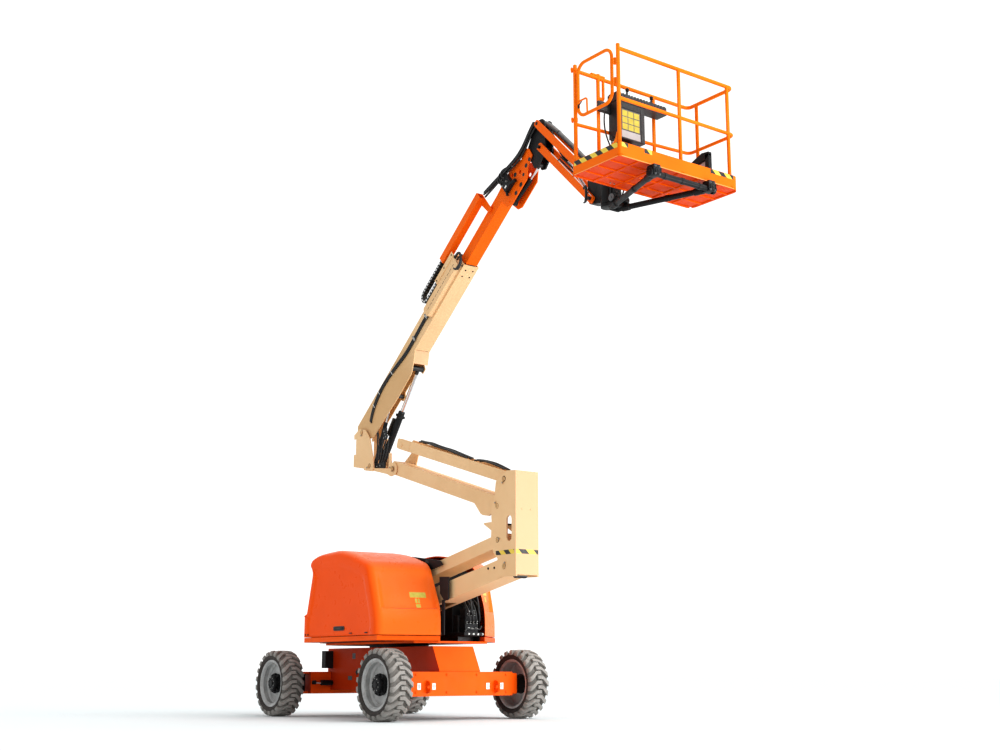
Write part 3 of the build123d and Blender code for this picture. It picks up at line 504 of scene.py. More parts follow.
for n in "hood_right hood_left".split():
    finish_node(n, ORANGE_HOOD, 0.0)
for ax in ("drive", "steer"):
    for sd in ("left", "right"):
        finish_node("rim_%s_%s" % (ax, sd), RIMS[ax], 0.002)
        finish_node("tyre_%s_%s" % (ax, sd), TYRE, 0.0)

# ------------------------------------------------------------------ boom frame: distance along the boom, height across it
BC, BS = cos(radians(39)), sin(radians(39))


def BM(s, n, y):
    return Vector((-0.8 + s * BC - n * BS, y, 3.77 + s * BS + n * BC))


def smooth(t):
    t = max(0.0, min(1.0, t))
    return t * t * (3 - 2 * t)


# ------------------------------------------------------------------ tyres: moulded lugs on a round carcass
LUG = [(-0.030, 0.4172, 0.389, 0.198, 0.046), (0.000, 0.4190, 0.389, 0.198, 0.047), (0.036, 0.4190, 0.388, 0.194, 0.048), (0.050, 0.4188, 0.388, 0.176, 0.053), (0.085, 0.4180, 0.386, 0.100, 0.063),
       (0.117, 0.4155, 0.382, 0.030, 0.068), (0.136, 0.4080, 0.376, 0.002, 0.070), (0.1460, 0.3960, 0.367, -0.004, 0.070), (0.1500, 0.3780, 0.358, -0.008, 0.066), (0.1508, 0.3600, 0.352, -0.010, 0.060)]
LUG_BASE = [-0.032, 0.000, 0.036, 0.050, 0.084, 0.115, 0.130, 0.1385, 0.1425, 0.1455]
TYRE_SECTION = [(-0.113, 0.2885), (-0.129, 0.299), (-0.142, 0.318), (-0.1470, 0.341), (-0.1450, 0.356), (-0.137, 0.370), (-0.118, 0.381), (-0.06, 0.3870), (0.0, 0.3880),
                (0.06, 0.3870), (0.118, 0.381), (0.137, 0.370), (0.1450, 0.356), (0.1470, 0.341), (0.142, 0.318), (0.129, 0.299), (0.113, 0.2885)]


def make_wheel(tag, cx, sy):
    cy = sy * 0.9955
    body = "wheel_" + tag
    bm = bmesh.new()
    add_lathe(bm, (cx, cy, 0.42), (0, 1, 0), TYRE_SECTION, 96)
    # carcass faces: sidewall inside r 0.352, darker groove floor outside it (painted shade between the lugs)
    for fc in bm.faces:
        m = fc.calc_center_median()
        fc.material_index = 1 if hypot(m.x - cx, m.z - 0.42) < 0.352 else 2
    for k in (-1, 1):
        for i in range(22):
            ph = 2 * pi * (i + (0.0 if k > 0 else 0.5)) / 22
            rows = []
            for (a, rt, rb, th, hw), ab in zip(LUG, LUG_BASE):
                row = []
                for aa, r, d in ((ab, rb, -hw - 0.012), (a, rt, -hw), (a, rt, 0.0), (a, rt, hw), (ab, rb, hw + 0.012)):
                    g = ph + th + d
                    row.append(bm.verts.new((cx + r * cos(g), cy + k * aa, 0.42 + r * sin(g))))
                rows.append(row)
            for A, B in zip(rows, rows[1:]):
                for q in range(4):
                    bm.faces.new((A[q], A[q + 1], B[q + 1], B[q]))
            bm.faces.new(rows[0])
            bm.faces.new(rows[-1])
    # fine rings on the side wall
    for sg in (-1, 1):
        for r0, a0 in ((0.308, 0.1363), (0.326, 0.1440), (0.350, 0.1468)):
            add_lathe(bm, (cx, cy, 0.42), (0, sg, 0), [(a0 - 0.002, r0 - 0.003), (a0 + 0.0018, r0 - 0.0015), (a0 + 0.0018, r0 + 0.0015), (a0 - 0.002, r0 + 0.003)], 96, 1)
    ob = to_object(bm, "tyre_lugs_" + tag, [TYRE, SIDEWALL, GROOVE_PAINTED_SHADE], body, 34, bevel=0.0022, segments=1)
    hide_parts("tyre_" + tag)
    # hub: cover, bolts, rim bead, valve stem
    bm = bmesh.new()
    fy = sy * (0.9955 + 0.0665)
    add_lathe(bm, (cx, fy, 0.42), (0, sy, 0), [(-0.004, 0.100), (0.030, 0.098), (0.046, 0.094), (0.056, 0.084), (0.058, 0.060), (0.054, 0.056), (0.054, 0.040), (0.064, 0.036), (0.066, 0.0006)], 48, 0, closed=False)
    add_lathe(bm, (cx, fy, 0.42), (0, sy, 0), [(-0.002, 0.130), (0.006, 0.128), (0.006, 0.100), (-0.002, 0.098)], 48, 0)
    for i in range(9):
        g = 2 * pi * i / 9
        add_bolt(bm, (cx + 0.115 * cos(g), fy + sy * 0.006, 0.42 + 0.115 * sin(g)), (0, sy, 0), 0.0105, 0.014, True, 0)
        add_bolt(bm, (cx + 0.072 * cos(g + 0.35), fy + sy * 0.057, 0.42 + 0.072 * sin(g + 0.35)), (0, sy, 0), 0.0070, 0.006, False, 1)
    to_object(bm, "hub_cover_" + tag, [BLACK, STEEL], body, 30)
    bm = bmesh.new()
    for side_a, r0 in ((0.1305, 0.288), (0.1045, 0.2615), (0.0300, 0.2300)):
        add_lathe(bm, (cx, cy, 0.42), (0, sy, 0), [(side_a - 0.003, r0 - 0.006), (side_a + 0.0025, r0 - 0.004), (side_a + 0.0035, r0), (side_a + 0.0025, r0 + 0.004), (side_a - 0.003, r0 + 0.006)], 72, 0)
    g = radians(62)
    v0 = Vector((cx + 0.236 * cos(g), cy + sy * 0.040, 0.42 + 0.236 * sin(g)))
    add_cyl(bm, v0, v0 + Vector((0.012 * cos(g), sy * 0.045, 0.012 * sin(g))), 0.005, 12, 1)
    add_cyl(bm, v0 + Vector((0.012 * cos(g), sy * 0.045, 0.012 * sin(g))), v0 + Vector((0.013 * cos(g), sy * 0.060, 0.013 * sin(g))), 0.0065, 12, 1)
    to_object(bm, "rim_beads_" + tag, [RIMS[tag.split("_")[0]], STRIPE_BLACK], body, 40)


for tag, cx, sy in (("drive_left", 1.245, 1), ("drive_right", 1.245, -1), ("steer_left", -1.33, 1), ("steer_right", -1.33, -1)):
    make_wheel(tag, cx, sy)

# ------------------------------------------------------------------ hoods: moulded covers with a rounded shoulder and a dished end panel
BACK = [(-0.720, 0.996), (-0.720, 1.280), (-0.662, 1.294), (-0.530, 1.812), (-0.611, 1.908), (-0.560, 1.972), (-0.393, 2.023), (-0.150, 2.052), (0.113, 2.061)]
FRONT = {"right": ([(0.480, 1.975), (0.842, 1.849), (1.010, 1.370), (1.060, 1.200), (1.060, 0.996)], [(0.560, 2.000), (1.000, 1.862), (1.240, 1.345), (1.262, 1.200), (1.262, 0.996)]),
         "left": ([(0.300, 2.005), (0.560, 1.915), (0.700, 1.370), (0.740, 1.200), (0.740, 0.996)], [(0.540, 2.000), (0.960, 1.868), (1.180, 1.350), (1.200, 1.200), (1.200, 0.996)])}
ROUND = [0, 0.012, 0.03, 0.07, 0.06, 0.06, 0.16, 0.16, 0.25, 0.25, 0.11, 0.16, 0.10, 0]


def corner_path(pts, radii, n=7):
    out = []
    for i, p in enumerate(pts):
        r = radii[i]
        if r <= 0 or i in (0, len(pts) - 1):
            out.append(p)
            continue
        a, b = pts[i - 1], pts[i + 1]
        la, lb = hypot(p[0] - a[0], p[1] - a[1]), hypot(b[0] - p[0], b[1] - p[1])
        t = min(r, 0.48 * la, 0.48 * lb)
        p0 = (p[0] + (a[0] - p[0]) * t / la, p[1] + (a[1] - p[1]) * t / la)
        p1 = (p[0] + (b[0] - p[0]) * t / lb, p[1] + (b[1] - p[1]) * t / lb)
        for k in range(n + 1):
            u = k / n
            out.append(((1 - u) ** 2 * p0[0] + 2 * u * (1 - u) * p[0] + u * u * p1[0], (1 - u) ** 2 * p0[1] + 2 * u * (1 - u) * p[1] + u * u * p1[1]))
    return out


def hood_rows(tag, y_in, y_out):
    sg = 1.0 if y_in > y_out else -1.0
    oc, ic = corner_path(BACK + FRONT[tag][0], ROUND), corner_path(BACK + FRONT[tag][1], ROUND)
    O, I = [], []
    for k in range(len(oc) - 1):
        L = max(hypot(oc[k + 1][0] - oc[k][0], oc[k + 1][1] - oc[k][1]), hypot(ic[k + 1][0] - ic[k][0], ic[k + 1][1] - ic[k][1]))
        m = max(1, int(math.ceil(L / (0.014 if oc[k][0] > 0.5 else 0.045))))
        for j in range(m):
            u = j / m
            O.append((oc[k][0] + (oc[k + 1][0] - oc[k][0]) * u, oc[k][1] + (oc[k + 1][1] - oc[k][1]) * u))
            I.append((ic[k][0] + (ic[k + 1][0] - ic[k][0]) * u, ic[k][1] + (ic[k + 1][1] - ic[k][1]) * u))
    O.append(oc[-1])
    I.append(ic[-1])
    n = len(O)
    W = abs(y_in - y_out)

    def point(i, w):
        return (O[i][0] + (I[i][0] - O[i][0]) * w, O[i][1] + (I[i][1] - O[i][1]) * w)

    def inward(i, w):
        a, b = point(max(i - 1, 0), w), point(min(i + 1, n - 1), w)
        tx, tz = b[0] - a[0], b[1] - a[1]
        L = hypot(tx, tz) or 1.0
        return (tz / L, -tx / L)

    yl, yr = (0.062, W - 0.012)

    def dish(y, x, z):
        # depth of the dished panel in the end face
        if x < 0.45:
            return 0.0
        d = abs(y - y_out)
        e = smooth((d - yl) / 0.060) * smooth((yr - d) / 0.050)
        v = (1.815 - z) / (1.815 - 1.315)
        if v <= 0:
            return 0.0
        return 0.040 * e * smooth(v * 1.10) * smooth((z - 1.306) / 0.016)

    rows = []

    def row(ws, ys, ins):
        r = []
        for i in range(n):
            w, y, q = ws(i), ys(i), ins(i)
            p, nn = point(i, w), inward(i, w)
            dd = q + dish(y, p[0], p[1])
            r.append(Vector((p[0] + nn[0] * dd, y, max(0.996, p[1] + nn[1] * dd) if i not in (0, n - 1) else 0.996)))
        rows.append(r)

    rad = [0.026 + 0.052 * smooth((O[i][0] + 0.50) / 0.45) for i in range(n)]
    for k in range(8):
        f = radians(90.0 * k / 7)
        row(lambda i: rad[i] * (1 - cos(f)) / W, lambda i: y_out + sg * rad[i] * (1 - cos(f)), lambda i: rad[i] * (1 - sin(f)))
    steps = 34
    for k in range(1, steps + 1):
        u = k / steps
        row(lambda i: (rad[i] + (W - rad[i]) * u) / W, lambda i: y_out + sg * (rad[i] + (W - rad[i]) * u), lambda i: 0.0 if u < 0.999 else 0.002)
    row(lambda i: 1.0, lambda i: y_in, lambda i: 0.016)
    return rows, sg


def hood_piece(tag, y_in, y_out):
    rows, sg = hood_rows(tag, y_in, y_out)
    bm = bmesh.new()
    xc = 0.14
    first = rows[0]
    loops = []
    for sc, dy in ((0.86, 0.010), (0.885, 0.0085), (0.91, 0.0025), (0.935, 0.0), (0.97, 0.0)):
        loops.append([Vector((xc + (p.x - xc) * sc, p.y + sg * dy, 0.996 + (p.z - 0.996) * sc)) for p in first])
    grid = [[bm.verts.new(p) for p in r] for r in loops + rows]
    for A, B in zip(grid, grid[1:]):
        for i in range(len(A) - 1):
            bm.faces.new((A[i], A[i + 1], B[i + 1], B[i]))
    bm.faces.new(grid[0])
    bmesh.ops.recalc_face_normals(bm, faces=bm.faces)
    top = max(bm.faces, key=lambda f: f.calc_center_median().z)
    if top.normal.z < 0:
        bmesh.ops.reverse_faces(bm, faces=bm.faces)
    me = bpy.data.meshes.new("hood_shell_" + tag)
    bm.to_mesh(me)
    bm.free()
    ob = bpy.data.objects.new("hood_shell_" + tag, me)
    scene.collection.objects.link(ob)
    me.materials.append(ORANGE_HOOD)
    shade(me, 38)
    so = ob.modifiers.new("wall", "SOLIDIFY")
    so.thickness = 0.006
    so.offset = -1.0
    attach(ob, "hood_" + tag)
    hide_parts("hood_" + tag)
    return ob


hood_piece("right", -0.22, -1.0)
hood_piece("left", 0.49, 1.0)


def hood_face(y, z, lift):
    # a point on the right hood's dished end face
    u = (y + 1.0) / 0.78
    top, bot = (0.842 + 0.158 * u, 1.849 + 0.013 * u), (1.010 + 0.230 * u, 1.370 - 0.025 * u)
    t = (top[1] - z) / (top[1] - bot[1])
    x = top[0] + (bot[0] - top[0]) * t
    L = hypot(bot[0] - top[0], bot[1] - top[1])
    nx, nz = -(bot[1] - top[1]) / L, (bot[0] - top[0]) / L
    d = y + 1.0
    dep = 0.040 * smooth((d - 0.062) / 0.060) * smooth((0.768 - d) / 0.050) * smooth(1.10 * (1.815 - z) / 0.50) * smooth((z - 1.306) / 0.016)
    return Vector((x + nx * (lift - dep), y, z + nz * (lift - dep)))


bm = bmesh.new()
for y0, y1, z0, z1, mt in ((-0.545, -0.345, 1.458, 1.520, 0), (-0.487, -0.462, 1.392, 1.445, 0), (-0.452, -0.432, 1.392, 1.445, 0), (-0.487, -0.432, 1.338, 1.380, 0)):
    g = []
    for a in range(4):
        g.append([bm.verts.new(hood_face(y0 + (y1 - y0) * b / 3, z0 + (z1 - z0) * a / 3, 0.0016)) for b in range(4)])
    for a in range(3):
        for b in range(3):
            bm.faces.new((g[a][b], g[a][b + 1], g[a + 1][b + 1], g[a + 1][b])).material_index = mt
ob = to_object(bm, "hood_plates_yellow", [YELLOW_LABEL], "hood_right")

# oval latch low on the side, slots and screws at the lower rear corner
bm = bmesh.new()


def stadium(x0, x1, z0, z1, n=10):
    r = (z1 - z0) / 2
    pts = []
    for k in range(n + 1):
        g = -pi / 2 + pi * k / n
        pts.append((x1 - r + r * cos(g), (z0 + z1) / 2 + r * sin(g)))
    for k in range(n + 1):
        g = pi / 2 + pi * k / n
        pts.append((x0 + r + r * cos(g), (z0 + z1) / 2 + r * sin(g)))
    return pts


add_prism(bm, stadium(0.030, 0.295, 1.062, 1.116), -0.998, -0.984)
add_prism(bm, stadium(0.060, 0.265, 1.073, 1.105), -1.003, -0.990, mat=1)
add_prism(bm, stadium(0.100, 0.225, 1.081, 1.097), -1.006, -0.995)
to_object(bm, "hood_latch", [PLASTIC, BLACK], "hood_right", 30, bevel=0.002)
bm = bmesh.new()
for x in (-0.66, -0.60):
    add_bolt(bm, (x, -1.0005, 1.028), (0, -1, 0), 0.008, 0.004)
for x in (0.42, 0.78):
    add_prism(bm, stadium(x, x + 0.06, 1.020, 1.032), -1.001, -0.992)
to_object(bm, "hood_fasteners", [BLACK], "hood_right", 30)
# handle recess and fasteners on the left hood
bm = bmesh.new()
add_prism(bm, stadium(-0.05, 0.215, 1.062, 1.116), 0.984, 0.998)
add_prism(bm, stadium(-0.02, 0.185, 1.073, 1.105), 0.990, 1.003, mat=1)
for x in (-0.66, -0.60):
    add_bolt(bm, (x, 1.0005, 1.028), (0, 1, 0), 0.008, 0.004)
to_object(bm, "hood_latch_left", [PLASTIC, BLACK], "hood_left", 30, bevel=0.002)

# blank plate on the left hood's end
bm = bmesh.new()
for y0, y1, z0, z1 in ((0.640, 0.780, 1.520, 1.565), (0.680, 0.740, 1.440, 1.505)):
    g = []
    for zz in (z0, z1):
        for yy in (y0, y1):
            u = (1.0 - yy) / 0.51
            top, bot = (0.560 + 0.400 * u, 1.915 - 0.047 * u), (0.700 + 0.480 * u, 1.370 - 0.020 * u)
            t = (top[1] - zz) / (top[1] - bot[1])
            dp = 0.040 * smooth((1.0 - yy - 0.062) / 0.060) * smooth((0.498 - (1.0 - yy)) / 0.050) * smooth(1.10 * (1.815 - zz) / 0.50) * smooth((zz - 1.306) / 0.016)
            g.append(bm.verts.new((top[0] + (bot[0] - top[0]) * t + 0.0025 - dp * 0.97, yy, zz - dp * 0.24)))
    bm.faces.new((g[0], g[1], g[3], g[2]))
to_object(bm, "hood_plates_left", [YELLOW_LABEL], "hood_left")

# ------------------------------------------------------------------ energy chain: linked side plates, cross bars and the lines inside
def chain_at(t):
    # t: distance along the chain from the front end of the lower run; returns s, n and the unit tangent
    a, b, r = 0.65, pi * 0.070, 0.070
    if t < a:
        return 2.87 - t, 0.155, (-1.0, 0.0)
    if t < a + b:
        g = (t - a) / r
        return 2.22 - r * sin(g), 0.225 - r * cos(g), (-cos(g), sin(g))
    return 2.22 + (t - a - b), 0.295, (1.0, 0.0)


CHAIN_LEN = 0.65 + pi * 0.070 + 0.80
bm = bmesh.new()
count = 34
for i in range(count):
    t = (i + 0.5) * CHAIN_LEN / count
    s, n, (tx, tz) = chain_at(t)
    off = 0.0016 if i % 2 else 0.0

    def loc(u, v, s=s, n=n, tx=tx, tz=tz):
        p = BM(s + u * tx - v * tz, n + u * tz + v * tx, 0.0)
        return (p.x, p.z)

    L, H = 0.0295, 0.0235
    oct_ = [(-L, -H * 0.45), (-L * 0.62, -H), (L * 0.62, -H), (L, -H * 0.45), (L, H * 0.45), (L * 0.62, H), (-L * 0.62, H), (-L, H * 0.45)]
    for y0, y1 in ((-0.1900 + off, -0.1830 + off), (-0.1340 - off, -0.1270 - off)):
        add_prism(bm, oct_, y0, y1, loc)
    for v in (-0.0185, 0.0185):
        add_prism(bm, [(-0.011, v - 0.0035), (0.011, v - 0.0035), (0.011, v + 0.0035), (-0.011, v + 0.0035)], -0.1825, -0.1345, loc)
    cx_, cz_ = loc(0, 0)
    add_cyl(bm, (cx_, -0.1912, cz_), (cx_, -0.1890, cz_), 0.0105, 16, 1)
    add_cyl(bm, (cx_, -0.1922, cz_), (cx_, -0.1905, cz_), 0.005, 12, 0)
    # white patch on each outer plate: painted light, standing in for the bright gaps seen through the links
    add_prism(bm, [(-0.0130, -0.0100), (0.0130, -0.0100), (0.0130, 0.0100), (-0.0130, 0.0100)], -0.1930, -0.1895, loc, mat=2)
ch = to_object(bm, "chain_links", [PLASTIC, GREY, WHITE], "energy_chain", 30, bevel=0.0012, segments=1)
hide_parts("energy_chain")
for k, (dy, rr, mt) in enumerate(((-0.170, 0.0105, HOSE), (-0.148, 0.0105, HOSE))):
    pts = []
    for t in [0.02, 0.25, 0.45, 0.62, 0.69, 0.76, 0.83, 0.90, 1.05, 1.30, CHAIN_LEN - 0.02]:
        s, n, _ = chain_at(t)
        pts.append(BM(s, n, dy))
    hose("chain_line_%d" % k, pts, rr, mt, "energy_chain")


# ------------------------------------------------------------------ hazard stripes: thin slanted films
def clip_poly(poly, axis, lim, keep_less):
    out = []
    for a, b in zip(poly, poly[1:] + poly[:1]):
        ia = (a[axis] <= lim) if keep_less else (a[axis] >= lim)
        ib = (b[axis] <= lim) if keep_less else (b[axis] >= lim)
        if ia:
            out.append(a)
        if ia != ib:
            t = (lim - a[axis]) / (b[axis] - a[axis])
            out.append((a[0] + (b[0] - a[0]) * t, a[1] + (b[1] - a[1]) * t))
    return out


def stripes(name, body, f, u0, u1, v0, v1, period, slant, phase=0.0):
    bm = bmesh.new()
    h = v1 - v0
    k = int(math.floor((u0 - abs(slant) * h) / (period / 2))) - 2
    while k * period / 2 + phase < u1 + abs(slant) * h + period:
        a = k * period / 2 + phase
        poly = [(a, v0), (a + period / 2, v0), (a + period / 2 + slant * h, v1), (a + slant * h, v1)]
        poly = clip_poly(clip_poly(poly, 0, u1, True), 0, u0, False) if len(poly) > 2 else []
        if len(poly) > 2:
            fc = bm.faces.new([bm.verts.new(f(u, v)) for u, v in poly])
            fc.material_index = k % 2
        k += 1
    return to_object(bm, name, [YELLOW, STRIPE_BLACK], body)


stripes("stripe_upright_side", "lower_upright", lambda u, v: Vector((u, -0.1669, v)), 2.300, 2.650, 1.888, 1.938, 0.185, -1.0)
stripes("stripe_upright_side_far", "lower_upright", lambda u, v: Vector((u, 0.1669, v)), 2.300, 2.650, 1.888, 1.938, 0.185, -1.0)
stripes("stripe_upright_end", "lower_upright", lambda u, v: Vector((2.6809, u, v)), -0.160, 0.160, 1.888, 1.938, 0.220, -1.0, 0.03)
stripes("stripe_toe_near", "platform", lambda u, v: Vector((u, -0.8759, v)), 4.632, 5.320, 5.790, 5.845, 0.170, -0.9)
stripes("stripe_toe_far", "platform", lambda u, v: Vector((u, 0.8759, v)), 4.700, 5.250, 5.790, 5.845, 0.170, 1.1)
stripes("stripe_front_a", "platform", lambda u, v: Vector((5.3509, u, v)), -0.845, -0.755, 5.798, 5.845, 0.170, -1.0)
stripes("stripe_front_b", "platform", lambda u, v: Vector((5.3509, u, v)), -0.530, -0.425, 5.798, 5.845, 0.150, -1.0, 0.0)
stripes("stripe_front_c", "platform", lambda u, v: Vector((5.3509, u, v)), 0.430, 0.780, 5.798, 5.845, 0.170, -1.0)

# ------------------------------------------------------------------ hoses along the main boom, with clamp and ties
RUN = [(2.09, 0.060), (1.98, 0.064), (1.88, 0.065), (1.65, 0.050), (1.40, 0.045), (1.20, 0.080), (1.05, 0.105), (0.80, 0.135), (0.57, 0.125), (0.33, 0.050), (0.22, -0.03)]
for k in range(3):
    hose("boom_hose_%d" % k, [BM(s, n + (k - 1) * 0.0200 - (0.004 if (i * 7 + k * 3) % 4 == 0 else 0.0), -0.1250 - 0.0008 * k) for i, (s, n) in enumerate(RUN)], 0.0095, HOSE, "main_boom", 12)
bm = bmesh.new()
for s, n in ((1.65, 0.050), (2.02, 0.062)):
    add_prism(bm, [(s - 0.016, n - 0.042), (s + 0.016, n - 0.042), (s + 0.016, n + 0.042), (s - 0.016, n + 0.042)], -0.1385, -0.1345, lambda a, b: (BM(a, b, 0).x, BM(a, b, 0).z))
    for dn in (-0.036, 0.036):
        p = BM(s, n + dn, -0.115)
        add_cyl(bm, p, p + Vector((0, -0.020, 0)), 0.006, 12)
        add_bolt(bm, p + Vector((0, -0.0235, 0)), (0, -1, 0), 0.007, 0.005)
to_object(bm, "boom_hose_clamps", [STEEL], "main_boom", 30, bevel=0.001)
bm = bmesh.new()
for s, n, a in ((1.00, 0.112, -0.1), (0.62, 0.129, 0.1), (0.42, 0.080, 0.5)):
    for dy in (-0.1375,):
        add_prism(bm, [(s - 0.004, n - 0.034), (s + 0.004, n - 0.034), (s + 0.004, n + 0.034), (s - 0.004, n + 0.034)], dy, -0.115, lambda p, q: (BM(p, q, 0).x, BM(p, q, 0).z))
to_object(bm, "boom_hose_ties", [WHITE], "main_boom", 30, bevel=0.0008)
hose("boom_elbow_a", [BM(*p) for p in ((2.900, 0.100, -0.165), (2.985, 0.105, -0.172), (3.055, 0.090, -0.182), (3.080, 0.020, -0.188), (3.030, -0.060, -0.188), (2.930, -0.080, -0.184), (2.870, -0.050, -0.182), (2.860, 0.000, -0.178))], 0.0155, HOSE, "main_boom", 12)
hose("boom_elbow_b", [BM(*p) for p in ((2.900, 0.070, -0.145), (2.975, 0.075, -0.150), (3.020, 0.055, -0.155), (3.035, 0.005, -0.158), (3.000, -0.045, -0.158), (2.930, -0.058, -0.156), (2.880, -0.045, -0.152))], 0.0125, HOSE, "main_boom", 12)

# cover trim: a dashed slit along the hose cover, drawn as thin black strips (painted shade standing in for the
# openings), and its screws
bm = bmesh.new()


def bxz(a, b):
    p = BM(a, b, 0)
    return (p.x, p.z)


for k in range(11):
    s = 2.150 + k * 0.070
    add_prism(bm, [(s, 0.030), (s + 0.048, 0.030), (s + 0.048, 0.0365), (s, 0.0365)], -0.1908, -0.1880, bxz)
to_object(bm, "cover_slits", [STRIPE_BLACK], "main_boom", 30)
bm = bmesh.new()
for s, n in ((2.945, -0.045),):
    add_bolt(bm, BM(s, n, -0.1155), (0, -1, 0), 0.009, 0.007)
for s in (2.53, 2.74, 2.95):
    add_bolt(bm, BM(s, 0.155, -0.2000), (0, -1, 0), 0.007, 0.005)
for y in (-0.085, 0.085):
    for n in (-0.045, 0.165):
        add_bolt(bm, BM(2.9795, n, y), BM(1, 0, 0) - BM(0, 0, 0), 0.009, 0.007)
for s, y in ((2.903, -0.050), (2.908, 0.060), (2.805, -0.050), (2.810, 0.060)):
    add_bolt(bm, BM(s, -0.0655, y), BM(0, -1, 0) - BM(0, 0, 0), 0.007, 0.004)
to_object(bm, "cover_screws", [DARK], "main_boom", 30)

# worn slide pads at the mouth of the main boom
bm = bmesh.new()


def bm3(p):
    return BM(p.x, p.z, p.y)


for y0, y1, n0, n1 in ((-0.060, 0.060, 0.106, 0.168), (-0.060, 0.060, -0.060, -0.054)):
    add_box(bm, (2.975, y0, n0), (2.989, y1, n1), 0, bm3)
to_object(bm, "boom_mouth_pads", [PLASTIC], "main_boom", 30, bevel=0.002)

# ------------------------------------------------------------------ pin heads and keeper plates
def pins(name, body, items, y, sg=-1):
    bm = bmesh.new()
    for x, z, r, ang in items:
        r = r * 0.72
        add_lathe(bm, (x, y, z), (0, sg, 0), [(-0.002, r), (0.008, r), (0.010, r - 0.003), (0.010, 0.010), (0.007, 0.008), (0.007, 0.0006)], 36, 0, closed=False)
        add_lathe(bm, (x, y, z), (0, sg, 0), [(0.0004, r + 0.011), (0.0022, r + 0.010), (0.0022, r - 0.001), (0.0004, r - 0.001)], 36, 1)
        dx, dz = cos(ang), sin(ang)
        q = [(x + dx * a - dz * b, z + dz * a + dx * b) for a, b in ((r * 0.3, -0.011), (r + 0.034, -0.011), (r + 0.034, 0.011), (r * 0.3, 0.011))]
        add_prism(bm, q, y + sg * 0.0085, y + sg * 0.0135, mat=0)
        add_bolt(bm, (x + dx * (r + 0.023), y + sg * 0.0135, z + dz * (r + 0.023)), (0, sg, 0), 0.007, 0.005, True, 2)
    return to_object(bm, name, [TAN_DARK, BROWN, STEEL], body, 34, bevel=0.001, segments=1)


pins("pins_lower_upright", "lower_upright", ((2.454, 1.755, 0.034, 0.9), (2.330, 2.066, 0.030, 0.2), (2.319, 2.461, 0.030, 2.0), (2.455, 2.767, 0.034, 4.4)), -0.166)
pins("pins_lower_upright_far", "lower_upright", ((2.454, 1.755, 0.034, 0.9), (2.330, 2.066, 0.030, 0.2), (2.319, 2.461, 0.030, 2.0), (2.455, 2.767, 0.034, 4.4)), 0.166, 1)
pins("pins_upper_upright", "upper_upright", ((0.0, 3.170, 0.034, 2.6), (-0.800, 3.770, 0.036, 4.9), (-0.580, 3.280, 0.030, 3.6)), -0.150)
pins("pins_upper_upright_far", "upper_upright", ((0.0, 3.170, 0.034, 2.6), (-0.800, 3.770, 0.036, 4.9), (-0.580, 3.280, 0.030, 3.6)), 0.150, 1)

# ------------------------------------------------------------------ lines over the fly head to the jib
HEAD_OBS = []


def bundle(name, body, path, offs, r, mat, res=10, wob=0.0):
    obs = []
    for k, (dy, dz) in enumerate(offs):
        obs.append(hose("%s_%d" % (name, k), [(p[0], p[1] + dy, p[2] + dz + wob * sin(1.7 * i + 2.1 * k)) for i, p in enumerate(path)], r, mat, body, res))
    return obs


HEAD = [(2.040, -0.150, 6.380), (2.200, -0.150, 6.440), (2.372, -0.148, 6.512), (2.542, -0.142, 6.590), (2.680, -0.130, 6.650), (2.780, -0.118, 6.740), (2.850, -0.108, 6.850), (2.915, -0.100, 6.950), (2.985, -0.095, 7.012)]
for k, (dy, dz, r) in enumerate(((-0.012, 0.000, 0.0125), (0.012, 0.014, 0.0125), (0.010, -0.022, 0.0125), (-0.010, 0.028, 0.0105), (0.020, 0.040, 0.0105))):
    pts = [(p[0] - (0.4 * dz if i > 3 else 0.0), p[1] + dy, p[2] + dz + 0.006 * sin(1.7 * i + 2.1 * k)) for i, p in enumerate(HEAD)]
    ob = hose("head_line_%d" % k, pts, r, HOSE, None, 12)
    HEAD_OBS.append(ob)
    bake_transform(ob)
SL = [(3.000, -0.060, 7.022), (3.060, -0.040, 7.030), (3.130, -0.015, 6.998), (3.220, 0.0, 6.920), (3.330, 0.0, 6.815), (3.487, 0.0, 6.660), (3.640, 0.0, 6.505), (3.780, 0.0, 6.360), (3.880, 0.0, 6.255)]
bundle("jib_sleeve", "jib_links", SL, ((0.0, 0.0),), 0.026, SLEEVE, 14)
bundle("jib_side_line", "jib_links", [(3.05, -0.040, 7.010)] + [(p[0], -0.040, p[2] - 0.012) for p in SL[3:]], ((0.0, 0.0),), 0.009, HOSE, 12)
bm = bmesh.new()
for x, z in ((3.33, 6.815), (3.64, 6.505)):
    d = Vector((0.70, 0, -0.71))
    add_lathe(bm, (x, 0.0, z), d, [(-0.007, 0.0268), (-0.006, 0.0292), (0.006, 0.0292), (0.007, 0.0268)], 28, 0)
to_object(bm, "jib_sleeve_ties", [STRIPE_BLACK], "jib_links", 30)

# cable loop at the lower jib end
bundle("jib_end_loop", "jib_end", [(3.960, -0.152, 5.900), (3.985, -0.170, 5.930), (4.020, -0.182, 5.910), (4.035, -0.186, 5.840), (4.025, -0.182, 5.760), (3.995, -0.170, 5.715), (3.960, -0.152, 5.740)], ((0.0, 0.0), (-0.020, -0.012)), 0.0085, HOSE, 12)

